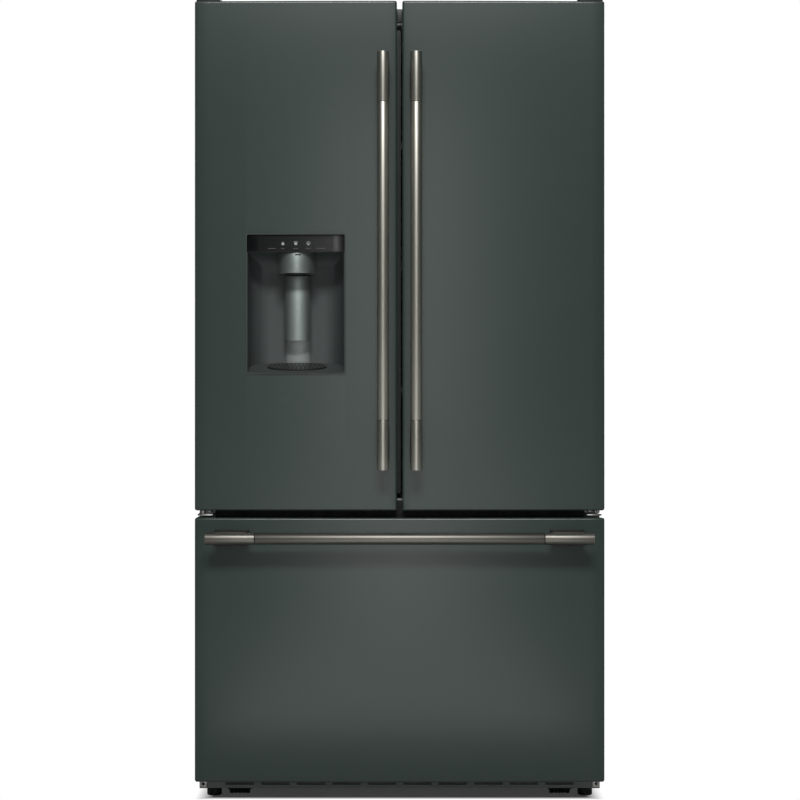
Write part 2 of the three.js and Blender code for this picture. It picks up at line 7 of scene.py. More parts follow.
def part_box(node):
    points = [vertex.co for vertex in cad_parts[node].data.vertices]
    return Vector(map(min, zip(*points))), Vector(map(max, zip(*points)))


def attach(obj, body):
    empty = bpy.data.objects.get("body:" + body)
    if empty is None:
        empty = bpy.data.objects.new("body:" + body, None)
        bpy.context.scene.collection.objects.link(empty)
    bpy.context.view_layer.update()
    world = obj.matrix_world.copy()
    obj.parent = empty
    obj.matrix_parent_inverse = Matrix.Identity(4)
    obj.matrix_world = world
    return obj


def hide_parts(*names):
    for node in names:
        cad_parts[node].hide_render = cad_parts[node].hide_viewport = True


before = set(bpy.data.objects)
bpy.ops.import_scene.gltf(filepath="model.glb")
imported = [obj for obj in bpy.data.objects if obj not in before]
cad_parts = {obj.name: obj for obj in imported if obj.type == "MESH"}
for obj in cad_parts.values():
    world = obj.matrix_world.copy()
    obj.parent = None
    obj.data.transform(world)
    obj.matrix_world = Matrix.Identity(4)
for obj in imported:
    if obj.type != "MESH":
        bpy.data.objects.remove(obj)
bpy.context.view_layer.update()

# ---------------------------------------------------------------- the studio
# A pale floor under a large overhead softbox, and one tall strip of soft light behind the camera
# that runs down the middle of the painted fronts. The camera stands level, at half height.
scene = bpy.context.scene
scene.view_settings.view_transform = "Standard"


def soft_lamp(name, place, target, wide, high, watts):
    data = bpy.data.lights.new(name, "AREA")
    data.shape = "RECTANGLE"
    data.size, data.size_y = wide, high
    data.energy = watts
    lamp = bpy.data.objects.new(name, data)
    lamp.location = place
    aim = Vector(target) - Vector(place)
    lamp.rotation_euler = aim.to_track_quat("-Z", "Y").to_euler()
    scene.collection.objects.link(lamp)
    return lamp


soft_lamp("strip_lamp", (0, -7.2, 1.7), (0, 0, 1.7), 0.7, 3.4, 27)
low_strip = soft_lamp("low_strip_lamp", (0, -3.9, 0.01), (0, -3.9, 3), 1.0, 6.0, 17)
low_strip.visible_camera = False
soft_lamp("key_lamp", (0, -5.9, 5.9), (0, -0.3, 0.8), 2.6, 1.2, 318)
soft_lamp("roof_lamp", (0, 1.2, 5.2), (0, 1.2, 0), 4.0, 4.0, 30)
soft_lamp("left_lamp", (-5.5, 1.9, 2.2), (0, 0.2, 0.9), 2.0, 3.0, 44)
soft_lamp("right_lamp", (5.5, 1.9, 2.2), (0, 0.2, 0.9), 2.0, 3.0, 44)
soft_lamp("rear_lamp", (1.5, 6.0, 2.6), (0, 0, 0.9), 2.5, 3.0, 90)

world = bpy.data.worlds.new("studio_air")
world.use_nodes = True
scene.world = world
air = world.node_tree
backdrop = air.nodes["Background"]
backdrop.inputs["Color"].default_value = (1, 1, 1, 1)
dim = air.nodes.new("ShaderNodeBackground")
dim.inputs["Color"].default_value = (0.9, 0.95, 1.0, 1)
dim.inputs["Strength"].default_value = 0.035
blend_air = air.nodes.new("ShaderNodeMixShader")
path = air.nodes.new("ShaderNodeLightPath")
air.links.new(path.outputs["Is Camera Ray"], blend_air.inputs["Fac"])
air.links.new(dim.outputs["Background"], blend_air.inputs[1])
air.links.new(backdrop.outputs["Background"], blend_air.inputs[2])
air.links.new(blend_air.outputs["Shader"], air.nodes["World Output"].inputs["Surface"])

bpy.ops.object.select_all(action="DESELECT")
bpy.ops.mesh.primitive_plane_add(size=14, location=(0, 0, 0))
floor = bpy.context.object
floor.name = "studio_floor"
floor_paint = bpy.data.materials.new("floor_paint")
floor_paint.use_nodes = True
floor_nodes, floor_links = floor_paint.node_tree.nodes, floor_paint.node_tree.links
floor_surface = floor_nodes["Principled BSDF"]
floor_surface.inputs["Base Color"].default_value = (0.4, 0.4, 0.4, 1)
floor_surface.inputs["Roughness"].default_value = 0.6
# Beside the object the floor shines plain white to the camera, as an overlit studio floor does.
floor_where = floor_nodes.new("ShaderNodeTexCoord")
floor_axes = floor_nodes.new("ShaderNodeSeparateXYZ")
floor_links.new(floor_where.outputs["Object"], floor_axes.inputs[0])
floor_fades = []
# Under the object the camera still sees 4 % of that white glow: a painted lift of the floor's shadow there.
for axis, start, end in (("X", 0.42, 0.46), ("Y", 0.305, 0.33)):
    side = floor_nodes.new("ShaderNodeMath")
    side.operation = "ABSOLUTE"
    floor_links.new(floor_axes.outputs[axis], side.inputs[0])
    fade = floor_nodes.new("ShaderNodeMapRange")
    fade.inputs["From Min"].default_value = start
    fade.inputs["From Max"].default_value = end
    fade.inputs["To Min"].default_value = 0.04
    floor_links.new(side.outputs[0], fade.inputs["Value"])
    floor_fades.append(fade)
floor_fade = floor_nodes.new("ShaderNodeMath")
floor_fade.operation = "MAXIMUM"
floor_links.new(floor_fades[0].outputs["Result"], floor_fade.inputs[0])
floor_links.new(floor_fades[1].outputs["Result"], floor_fade.inputs[1])
floor_path = floor_nodes.new("ShaderNodeLightPath")
floor_seen = floor_nodes.new("ShaderNodeMath")
floor_seen.operation = "MULTIPLY"
floor_links.new(floor_fade.outputs[0], floor_seen.inputs[0])
floor_links.new(floor_path.outputs["Is Camera Ray"], floor_seen.inputs[1])
floor_glow = floor_nodes.new("ShaderNodeEmission")
floor_mix = floor_nodes.new("ShaderNodeMixShader")
floor_links.new(floor_seen.outputs[0], floor_mix.inputs["Fac"])
floor_links.new(floor_surface.outputs["BSDF"], floor_mix.inputs[1])
floor_links.new(floor_glow.outputs["Emission"], floor_mix.inputs[2])
floor_links.new(floor_mix.outputs["Shader"], floor_nodes["Material Output"].inputs["Surface"])
floor.data.materials.append(floor_paint)

camera_data = bpy.data.cameras.new("camera")
camera_data.sensor_width = 36
camera_data.lens = 85.5
camera = bpy.data.objects.new("camera", camera_data)
camera.location = (0.0008, -4.583, 0.8943)
camera.rotation_euler = (math.pi / 2, 0, 0)
scene.collection.objects.link(camera)
scene.camera = camera

# ---------------------------------------------------------------- painted fronts
# Each front is one sheet of steel, 0.7 mm thick, roll-formed to a slow bow across both doors and
# folded back at its four edges. It is sprayed a satin grey-green, with a faint orange peel.
MM = 0.001


def extent(node):
    """A CAD node's box in millimetres: x0, x1, y0, y1, z0, z1."""
    low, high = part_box(node)
    return [value / MM for pair in zip(low, high) for value in pair]


def choose(obj):
    bpy.ops.object.select_all(action="DESELECT")
    obj.select_set(True)
    bpy.context.view_layer.objects.active = obj


def settle(name):
    """Names the new primitive and puts its place into its mesh."""
    obj = bpy.context.object
    obj.name = name
    bpy.ops.object.transform_apply(location=True, rotation=True, scale=True)
    return obj


def block(name, x0, x1, y0, y1, z0, z1):
    bpy.ops.object.select_all(action="DESELECT")
    middle = (Vector((x0, y0, z0)) + Vector((x1, y1, z1))) * MM / 2
    size = (abs(x1 - x0) * MM, abs(y1 - y0) * MM, abs(z1 - z0) * MM)
    bpy.ops.mesh.primitive_cube_add(size=1, location=middle, scale=size)
    return settle(name)


TURNS = {"x": (0, math.pi / 2, 0), "y": (math.pi / 2, 0, 0), "z": (0, 0, 0)}


def disc(name, axis, radius, length, x, y, z, sides=64):
    """A round bar or disc along one axis, centred at a point."""
    bpy.ops.object.select_all(action="DESELECT")
    bpy.ops.mesh.primitive_cylinder_add(
        vertices=sides, radius=radius * MM, depth=length * MM,
        location=Vector((x, y, z)) * MM, rotation=TURNS[axis],
    )
    return settle(name)


def modify(obj, kind, **settings):
    """Adds one modifier, sets it and applies it."""
    choose(obj)
    step = obj.modifiers.new(kind.lower(), kind)
    for key, value in settings.items():
        setattr(step, key, value)
    bpy.ops.object.modifier_apply(modifier=step.name)
    return obj


def soften(obj, radius, segments=3, angle=35):
    """Rounds every sharp edge and smooths the faces between."""
    modify(obj, "BEVEL", width=radius * MM, segments=segments, limit_method="ANGLE",
           angle_limit=math.radians(angle), use_clamp_overlap=True)
    choose(obj)
    bpy.ops.object.shade_smooth_by_angle(angle=math.radians(angle))
    return obj


def carve(obj, *cutters):
    for cutter in cutters:
        modify(obj, "BOOLEAN", operation="DIFFERENCE", object=cutter, solver="EXACT")
        bpy.data.objects.remove(cutter)
    return obj


def merge(name, *pieces):
    """Joins several pieces of one moulding or assembly into one object."""
    choose(pieces[0])
    for piece in pieces[1:]:
        piece.select_set(True)
    bpy.ops.object.join()
    pieces[0].name = name
    return pieces[0]


def pick(obj, test):
    """Goes to edit mode with only the faces that pass test(centre in mm, normal) selected."""
    choose(obj)
    bpy.ops.object.mode_set(mode="EDIT")
    bpy.ops.mesh.select_mode(type="FACE")
    bpy.ops.mesh.select_all(action="DESELECT")
    bpy.ops.object.mode_set(mode="OBJECT")
    for face in obj.data.polygons:
        face.select = test(face.center / MM, face.normal)
    bpy.ops.object.mode_set(mode="EDIT")


def drop_faces(obj, test):
    pick(obj, test)
    bpy.ops.mesh.delete(type="FACE")
    bpy.ops.object.mode_set(mode="OBJECT")
    return obj


def slices(obj, axis, places):
    """Cuts the faces across at each place along an axis, which gives a flat face lines to bend at."""
    choose(obj)
    bpy.ops.object.mode_set(mode="EDIT")
    for place in places:
        bpy.ops.mesh.select_all(action="SELECT")
        point = [place * MM if index == axis else 0 for index in range(3)]
        normal = [1 if index == axis else 0 for index in range(3)]
        bpy.ops.mesh.bisect(plane_co=point, plane_no=normal)
    bpy.ops.object.mode_set(mode="OBJECT")
    return obj


def spread(first, last, count):
    """Evenly spaced values strictly between two ends."""
    return [first + (last - first) * (i + 1) / (count + 1) for i in range(count)]


def linear(red, green, blue):
    """A colour from its everyday 0 to 255 values."""
    return tuple(((c / 255 + 0.055) / 1.055) ** 2.4 for c in (red, green, blue))


def finish(name, colour, roughness, metallic=0.0):
    """A new material, with its node tree and its Principled shader."""
    material = bpy.data.materials.new(name)
    material.use_nodes = True
    shader = material.node_tree.nodes["Principled BSDF"]
    shader.inputs["Base Color"].default_value = (*colour, 1)
    shader.inputs["Roughness"].default_value = roughness
    shader.inputs["Metallic"].default_value = metallic
    return material, material.node_tree, shader


def group_with(name, inputs, outputs):
    """An empty shader node group, with its input and output nodes."""
    group = bpy.data.node_groups.new(name, "ShaderNodeTree")
    for label, kind, value in inputs:
        socket = group.interface.new_socket(label, in_out="INPUT", socket_type=kind)
        socket.default_value = value
    for label, kind in outputs:
        group.interface.new_socket(label, in_out="OUTPUT", socket_type=kind)
    return group, group.nodes.new("NodeGroupInput"), group.nodes.new("NodeGroupOutput")


def uneven_group():
    """Slow drift in colour and roughness, as every real coat and moulding has."""
    group, given, result = group_with(
        "uneven_coat",
        [("Colour", "NodeSocketColor", (1, 1, 1, 1)), ("Roughness", "NodeSocketFloat", 0.5),
         ("Scale", "NodeSocketFloat", 6), ("Drift", "NodeSocketFloat", 0.1)],
        [("Colour", "NodeSocketColor"), ("Roughness", "NodeSocketFloat")],
    )
    nodes, links = group.nodes, group.links
    where = nodes.new("ShaderNodeTexCoord")
    cloud = nodes.new("ShaderNodeTexNoise")
    cloud.inputs["Detail"].default_value = 6
    links.new(where.outputs["Object"], cloud.inputs["Vector"])
    links.new(given.outputs["Scale"], cloud.inputs["Scale"])
    centred = nodes.new("ShaderNodeMath")
    centred.operation = "SUBTRACT"
    centred.inputs[1].default_value = 0.5
    links.new(cloud.outputs["Fac"], centred.inputs[0])
    swing = nodes.new("ShaderNodeMath")
    swing.operation = "MULTIPLY_ADD"
    swing.inputs[2].default_value = 1.0
    links.new(centred.outputs[0], swing.inputs[0])
    links.new(given.outputs["Drift"], swing.inputs[1])
    tint = nodes.new("ShaderNodeVectorMath")
    tint.operation = "SCALE"
    links.new(given.outputs["Colour"], tint.inputs[0])
    links.new(swing.outputs[0], tint.inputs["Scale"])
    rough = nodes.new("ShaderNodeMath")
    rough.operation = "MULTIPLY"
    links.new(given.outputs["Roughness"], rough.inputs[0])
    links.new(swing.outputs[0], rough.inputs[1])
    links.new(tint.outputs["Vector"], result.inputs["Colour"])
    links.new(rough.outputs[0], result.inputs["Roughness"])
    return group


def grain_group():
    """A fine relief: noise, stretched along an axis where the finish is brushed."""
    group, given, result = group_with(
        "fine_relief",
        [("Scale", "NodeSocketFloat", 800), ("Stretch", "NodeSocketVector", (1, 1, 1)),
         ("Height", "NodeSocketFloat", 0.00003), ("Strength", "NodeSocketFloat", 0.4)],
        [("Normal", "NodeSocketVector"), ("Mask", "NodeSocketFloat")],
    )
    nodes, links = group.nodes, group.links
    where = nodes.new("ShaderNodeTexCoord")
    stretch = nodes.new("ShaderNodeVectorMath")
    stretch.operation = "MULTIPLY"
    links.new(where.outputs["Object"], stretch.inputs[0])
    links.new(given.outputs["Stretch"], stretch.inputs[1])
    speckle = nodes.new("ShaderNodeTexNoise")
    speckle.inputs["Detail"].default_value = 3
    links.new(stretch.outputs["Vector"], speckle.inputs["Vector"])
    links.new(given.outputs["Scale"], speckle.inputs["Scale"])
    relief = nodes.new("ShaderNodeBump")
    links.new(speckle.outputs["Fac"], relief.inputs["Height"])
    links.new(given.outputs["Height"], relief.inputs["Distance"])
    links.new(given.outputs["Strength"], relief.inputs["Strength"])
    links.new(relief.outputs["Normal"], result.inputs["Normal"])
    links.new(speckle.outputs["Fac"], result.inputs["Mask"])
    return group


def edge_group():
    """A mask of outer edges, broken up by noise, where a finish rubs lighter."""
    group, given, result = group_with(
        "rubbed_edges",
        [("Amount", "NodeSocketFloat", 1.0)],
        [("Mask", "NodeSocketFloat")],
    )
    nodes, links = group.nodes, group.links
    shape = nodes.new("ShaderNodeNewGeometry")
    ramp = nodes.new("ShaderNodeMapRange")
    ramp.inputs["From Min"].default_value = 0.52
    ramp.inputs["From Max"].default_value = 0.62
    links.new(shape.outputs["Pointiness"], ramp.inputs["Value"])
    where = nodes.new("ShaderNodeTexCoord")
    patches = nodes.new("ShaderNodeTexNoise")
    patches.inputs["Scale"].default_value = 45
    links.new(where.outputs["Object"], patches.inputs["Vector"])
    broken = nodes.new("ShaderNodeMath")
    broken.operation = "MULTIPLY"
    links.new(ramp.outputs["Result"], broken.inputs[0])
    links.new(patches.outputs["Fac"], broken.inputs[1])
    scaled = nodes.new("ShaderNodeMath")
    scaled.operation = "MULTIPLY"
    scaled.use_clamp = True
    links.new(broken.outputs[0], scaled.inputs[0])
    links.new(given.outputs["Amount"], scaled.inputs[1])
    links.new(scaled.outputs[0], result.inputs["Mask"])
    return group


uneven_coat = uneven_group()
fine_relief = grain_group()
rubbed_edges = edge_group()


def coat(name, colour, roughness, metallic=0.0, drift=0.12, patches=6, grain=900, deep=0.00002,
         stretch=(1, 1, 1), bump=0.35, worn=0.0, worn_colour=(0.6, 0.6, 0.6)):
    """A material whose colour, roughness and relief vary, with lighter rubbed edges if worn."""
    material, tree, shader = finish(name, colour, roughness, metallic)
    nodes, links = tree.nodes, tree.links
    drifted = nodes.new("ShaderNodeGroup")
    drifted.node_tree = uneven_coat
    drifted.inputs["Colour"].default_value = (*colour, 1)
    drifted.inputs["Roughness"].default_value = roughness
    drifted.inputs["Scale"].default_value = patches
    drifted.inputs["Drift"].default_value = drift
    links.new(drifted.outputs["Roughness"], shader.inputs["Roughness"])
    relief = nodes.new("ShaderNodeGroup")
    relief.node_tree = fine_relief
    relief.inputs["Scale"].default_value = grain
    relief.inputs["Stretch"].default_value = stretch
    relief.inputs["Height"].default_value = deep
    relief.inputs["Strength"].default_value = bump
    links.new(relief.outputs["Normal"], shader.inputs["Normal"])
    if not worn:
        links.new(drifted.outputs["Colour"], shader.inputs["Base Color"])
        return material
    edges = nodes.new("ShaderNodeGroup")
    edges.node_tree = rubbed_edges
    edges.inputs["Amount"].default_value = worn
    rubbed = nodes.new("ShaderNodeMix")
    rubbed.data_type = "RGBA"
    links.new(edges.outputs["Mask"], rubbed.inputs["Factor"])
    links.new(drifted.outputs["Colour"], rubbed.inputs["A"])
    rubbed.inputs["B"].default_value = (*worn_colour, 1)
    links.new(rubbed.outputs["Result"], shader.inputs["Base Color"])
    return material


def dress(piece, material, body, slot, *nodes):
    """Gives a piece its material and body, and hides the CAD nodes it stands for. The slot is not used."""
    piece.data.materials.clear()
    piece.data.materials.append(material)
    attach(piece, body)
    if nodes:
        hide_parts(*nodes)
    return piece


green_paint = coat(
    "satin_green_paint", (0.036, 0.055, 0.048), 0.26, drift=0.06, patches=3, grain=520, deep=0.00003,
    bump=0.22, worn=0.25, worn_colour=linear(92, 100, 96),
)
green_paint.node_tree.nodes["Principled BSDF"].inputs["Specular IOR Level"].default_value = 0.55

half_width, crown = extent("drawer_skin")[1:3]
bow_rise = 7.0
bow_radius = (half_width**2 + bow_rise**2) / (2 * bow_rise)


def bow(x):
    """How far the front has fallen back from its crown at a place across the fridge."""
    return bow_radius - math.sqrt(bow_radius**2 - x**2)


def bow_front(obj, reach):
    """Bends to the shared bow all that lies in front of a depth."""
    for vertex in obj.data.vertices:
        if vertex.co.y / MM < reach:
            vertex.co.y += bow(vertex.co.x / MM) * MM
    return obj


def front_sheet(name, node, count, window=None):
    x0, x1, y0, y1, z0, z1 = extent(node)
    sheet = block(name, x0, x1, y0, y1, z0, z1)
    slices(sheet, 0, spread(x0, x1, count))
    bow_front(sheet, y0 + 10)
    soften(sheet, 5.0, 5, 50)
    drop_faces(sheet, lambda centre, normal: normal.y > 0.98 and centre.y > y1 - 1)
    modify(sheet, "SOLIDIFY", thickness=0.0011, offset=-1)
    if window:
        carve(sheet, window)
    choose(sheet)
    bpy.ops.object.shade_smooth_by_angle(angle=math.radians(35))
    return sheet


disp_x0, disp_x1, disp_y0, disp_y1, disp_z0, disp_z1 = extent("dispenser_housing")
window = block("window", disp_x0 - 0.3, disp_x1 + 0.3, -400, -365, disp_z0 - 0.3, disp_z1 + 0.3)
modify(window, "BEVEL", width=0.005, segments=6, limit_method="ANGLE")

left_front = front_sheet("left_door_front", "left_door_skin", 15, window)
right_front = front_sheet("right_door_front", "right_door_skin", 15)
drawer_front = front_sheet("drawer_front", "drawer_skin", 31)
dress(left_front, green_paint, "left_door", "green_paint", "left_door_skin")
dress(right_front, green_paint, "right_door", "green_paint", "right_door_skin")
dress(drawer_front, green_paint, "freezer_drawer", "green_paint", "drawer_skin")

# ---------------------------------------------------------------- bar handles
# A drawn steel tube in a pewter finish, brushed along its length, held at each end in a turned
# sleeve that is a little brighter. Each sleeve sits on a cast post screwed through the front.
pewter = coat("brushed_pewter", linear(192, 190, 179), 0.43, 1.0, drift=0.10, patches=9,
              grain=500, stretch=(5, 5, 0.1), deep=0.00001, bump=0.10)
# The drawer's bar takes a darker copy of the same pewter: painted shade that tones down the light the level bar
# catches from above.
shaded_bar_pewter = coat("shaded_bar_pewter_brushed_across", linear(122, 120, 113), 0.42, 1.0, drift=0.10, patches=9,
                     grain=500, stretch=(0.1, 5, 5), deep=0.00001, bump=0.10)
bright_pewter = coat("sleeve_pewter", linear(200, 198, 187), 0.39, 1.0, drift=0.08, patches=12,
                     grain=900, deep=0.000004, bump=0.08, worn=0.5, worn_colour=linear(205, 203, 196))
dark_groove = coat("dark_groove", linear(26, 26, 25), 0.5, 0.6)
bar_radius = 13.0
sleeve_long = 109.0
post_from_end = 56.0
post_long, post_wide = 75.0, 31.0
# The posts take a darker pewter: painted shade for the shadow the bar throws on them.
post_shaded_pewter = coat("post_shaded_pewter", linear(84, 83, 77), 0.5, 1.0, drift=0.10, patches=12, grain=900, bump=0.3)


def handle_parts(tag, node, body, axis):
    x0, x1, y0, y1, z0, z1 = extent(node)
    mid_x, mid_z, bar_y = (x0 + x1) / 2, (z0 + z1) / 2, y0 + bar_radius
    upright = axis == "z"
    start, end = (z0, z1) if upright else (x0, x1)

    def bar(name, radius, low, high):
        middle = (low + high) / 2
        place = (mid_x, bar_y, middle) if upright else (middle, bar_y, mid_z)
        return disc(name, axis, radius, high - low, *place)

    tube = bar(f"{tag}_tube", bar_radius - 0.35, start + sleeve_long + 1, end - sleeve_long - 1)
    soften(tube, 0.4, 2)
    dress(tube, pewter if upright else shaded_bar_pewter, body, "pewter", node)
    grooves, sleeves, posts, pads = [], [], [], []
    for low, high, post_at in (
        (start, start + sleeve_long, start + post_from_end),
        (end - sleeve_long, end, end - post_from_end),
    ):
        sleeve = bar(f"{tag}_sleeve", bar_radius, low, high)
        sleeves.append(soften(sleeve, 1.1, 4))
        inner = high if low == start else low
        grooves.append(bar(f"{tag}_groove", bar_radius - 1.4, inner - 1.5, inner + 1.5))
        long, wide = post_long / 2, post_wide / 2
        foot_y = crown + (bow(mid_x) if upright else bow(post_at)) + 0.4
        faces = (
            (mid_x - wide + 2.5, mid_x + wide - 2.5, bar_y - 1, foot_y, post_at - long, post_at + long)
            if upright
            else (post_at - long, post_at + long, bar_y - 1, foot_y, mid_z - wide, mid_z + wide)
        )
        posts.append(soften(block(f"{tag}_post", *faces), 4.5, 5))
        px0, px1, _, _, pz0, pz1 = faces
        pad = block(f"{tag}_pad", px0 - 0.8, px1 + 0.8, foot_y - 2.4, foot_y - 0.6, pz0 - 0.8, pz1 + 0.8)
        pads.append(soften(pad, 0.5, 2))
    dress(merge(f"{tag}_sleeves", *sleeves), bright_pewter if upright else shaded_bar_pewter, body, "pewter")
    dress(merge(f"{tag}_posts", *posts), post_shaded_pewter, body, "pewter")
    dress(merge(f"{tag}_grooves", *grooves, *pads), dark_groove, body, "dark_plastic")


handle_parts("left_handle", "left_handle", "left_door", "z")
handle_parts("right_handle", "right_handle", "right_door", "z")
handle_parts("drawer_handle", "drawer_handle", "freezer_drawer", "x")

# ---------------------------------------------------------------- dispenser
# A moulded niche in smoked metallic plastic, set in the left door behind a thin bright bezel. Its
# floor rises to the rear. A black glass panel with lit signs closes it at the top.
recess_plastic = coat("smoked_recess", linear(70, 76, 75), 0.55, 0.1, drift=0.10, patches=10, grain=1500,
                      deep=0.00001, bump=0.2)
bezel_metal = coat("bezel_metal", linear(78, 84, 81), 0.5, 0.3, drift=0.08)
niche_floor, niche_rise, niche_top = 956.0, 22.0, 1222.0
disp_mid = (disp_x0 + disp_x1) / 2
niche_wall, niche_back = 3.3, -285.0


def window_block(name, inset, y0, y1, z0, z1, corner):
    """A block the size of the door's window less an inset, with rounded upright corners."""
    piece = block(name, disp_x0 + inset, disp_x1 - inset, y0, y1, z0 + inset, z1 - inset)
    slices(piece, 0, spread(disp_x0 + inset, disp_x1 - inset, 7))
    bow_front(piece, y0 + 2)
    return modify(piece, "BEVEL", width=corner * MM, segments=5, limit_method="ANGLE",
                  angle_limit=math.radians(60))


def niche_cutter(name):
    """The hollow of the niche, rounded into its back, with a floor that rises to the rear."""
    x0, x1 = disp_x0 + niche_wall, disp_x1 - niche_wall
    hollow = block(name, x0, x1, -420, niche_back, niche_floor - 40, niche_top)
    pick(hollow, lambda centre, normal: normal.y > 0.9)
    bpy.ops.mesh.bevel(offset=0.048, offset_type="OFFSET", segments=12, affect="EDGES")
    bpy.ops.mesh.select_all(action="SELECT")
    slope = math.atan2(niche_rise, niche_back - disp_y0)
    bpy.ops.mesh.bisect(
        plane_co=Vector((0, disp_y0, niche_floor)) * MM, plane_no=(0, -math.sin(slope), math.cos(slope)),
        use_fill=True, clear_inner=True,
    )
    bpy.ops.object.mode_set(mode="OBJECT")
    return modify(hollow, "TRIANGULATE")


housing = window_block("dispenser_niche", 0.3, disp_y0 - 1.0, disp_y1, disp_z0, disp_z1, 4.6)
seat = block("seat", disp_x0 + 1, disp_x1 - 1, -400, -375, niche_top - 1, disp_z1 - 1)
modify(housing, "TRIANGULATE")
carve(housing, niche_cutter("hollow"), seat)
soften(housing, 0.9, 3, 40)
dress(housing, recess_plastic, "left_door", "recess_plastic", "dispenser_housing")

# A low, pale rib runs down the back of the niche, behind the paddle. Its pale metallic grey is a painted
# reflection, standing for the soft light seen there.
rib_radius, rib_high, rib_flatten = 27, 200, 0.3
pale_rib = disc("painted_reflection_rib", "z", rib_radius, rib_high, disp_mid, niche_back + 0.5, niche_floor + 112, 64)
for vertex in pale_rib.data.vertices:
    vertex.co.y = niche_back * MM + (vertex.co.y - niche_back * MM) * rib_flatten
carve(pale_rib, block("rear", disp_mid - 40, disp_mid + 40, niche_back + 0.4, niche_back + 40, 900, 1300))
painted_reflection_grey = coat("painted_reflection_grey", linear(176, 184, 181), 0.45, 0.5, drift=0.08, patches=12, grain=900,
                   bump=0.15)
dress(soften(pale_rib, 0.8, 3, 45), painted_reflection_grey, "left_door", "recess_plastic")

bezel = window_block("dispenser_bezel", 0.0, disp_y0 - 1.9, disp_y0 + 2.5, disp_z0, disp_z1, 4.9)
bezel_hole = window_block("bezel_hole", 1.5, disp_y0 - 8, disp_y0 + 9, disp_z0, disp_z1, 3.6)
carve(bezel, bezel_hole)
soften(bezel, 0.35, 2, 40)
dress(bezel, bezel_metal, "left_door", "recess_plastic")

black_glass = coat("black_glass", linear(11, 12, 13), 0.2, drift=0.05, patches=4, grain=60, deep=0.00001,
                   bump=0.05)
panel_x0, panel_x1, panel_y0, panel_y1, panel_z0, panel_z1 = extent("control_panel")
panel = block("control_glass", panel_x0, panel_x1, panel_y0, panel_y1, niche_top + 0.2, panel_z1)
slices(panel, 0, spread(panel_x0, panel_x1, 7))
bow_front(panel, panel_y0 + 1)
for vertex in panel.data.vertices:
    vertex.co.y -= bow(panel_x1) * MM if vertex.co.y / MM < panel_y1 - 1 else 0
soften(panel, 0.4, 3, 40)
dress(panel, black_glass, "left_door", "black_gloss", "control_panel")

# The signs on the glass are printed in white and lit from behind: a padlock, a tumbler and a drop,
# with a plain dash under each place where a key is touched. They are films 0.15 mm thick.
sign_white, _, sign_shader = finish("lit_sign", linear(176, 180, 178), 0.5)
sign_shader.inputs["Emission Color"].default_value = (0.9, 0.95, 0.95, 1)
sign_shader.inputs["Emission Strength"].default_value = 0.03
dash_grey = coat("printed_dash", linear(84, 88, 86), 0.5)


def film(name, outline, x, front_y, z):
    """A thin flat sign from an outline in millimetres, printed facing forwards."""
    points = [((x + u) * MM, front_y * MM, (z + v) * MM) for u, v in outline]
    mesh = bpy.data.meshes.new(name)
    mesh.from_pydata(points, [], [list(range(len(points)))])
    obj = bpy.data.objects.new(name, mesh)
    scene.collection.objects.link(obj)
    return modify(obj, "SOLIDIFY", thickness=0.00015, offset=0)


def ring_arc(radius, width, start, end, steps=14):
    """The outline of a band along an arc, in degrees anticlockwise from the right."""
    angles = [math.radians(start + (end - start) * i / steps) for i in range(steps + 1)]
    outer = [(radius * math.cos(a), radius * math.sin(a)) for a in angles]
    inner = [((radius - width) * math.cos(a), (radius - width) * math.sin(a)) for a in reversed(angles)]
    return outer + inner


def drop_outline(size):
    """A water drop: a round belly drawn up to a point."""
    steps = 20
    outline = []
    for i in range(steps):
        a = 2 * math.pi * i / steps + math.pi / 2
        pull = 1 + 0.75 * max(0.0, math.sin(a)) ** 6
        narrow = 1 - 0.25 * max(0.0, math.sin(a)) ** 2
        outline.append((size * math.cos(a) * narrow, size * math.sin(a) * pull))
    return outline


def panel_face(x):
    return crown + bow(x) + 0.08


signs = []
sign_z = panel_z0 + 15.5
for place, icon in ((-28.5, "lock"), (0.0, "tumbler"), (28.0, "drop")):
    x = disp_mid + place
    y = panel_face(x)
    if icon == "lock":
        signs.append(film("body", [(-3, -3.6), (3, -3.6), (3, 0.8), (-3, 0.8)], x, y, sign_z))
        arc = [(u, v + 0.8) for u, v in ring_arc(2.3, 0.9, 0, 180)]
        signs.append(film("shackle", arc, x, y, sign_z))
    if icon == "tumbler":
        signs.append(film("cup", [(-2.6, -3.6), (2.6, -3.6), (3.6, 1.2), (-3.6, 1.2)], x, y, sign_z))
        signs.append(film("rim", [(-4.2, 2.4), (4.2, 2.4), (4.4, 3.6), (-4.4, 3.6)], x, y, sign_z))
    if icon == "drop":
        signs.append(film("halo", ring_arc(4.0, 1.0, -50, 230), x, y, sign_z))
        turns = [k * math.pi / 8 for k in range(16)]
        bead = [(1.9 * math.cos(a), 1.9 * math.sin(a) - 2.4) for a in turns]
        signs.append(film("bead", bead, x, y, sign_z))
dress(merge("panel_signs", *signs), sign_white, "left_door", "white_plastic")

dashes = []
for place, long in ((-53, 17), (-28.5, 8), (0, 11), (28, 11), (55, 19)):
    x = disp_mid + place
    bar = [(-long / 2, -0.7), (long / 2, -0.7), (long / 2, 0.7), (-long / 2, 0.7)]
    dashes.append(film("dash", bar, x, panel_face(x), panel_z0 + 4.2))
dress(merge("panel_dashes", *dashes), dash_grey, "left_door", "grey_plastic")

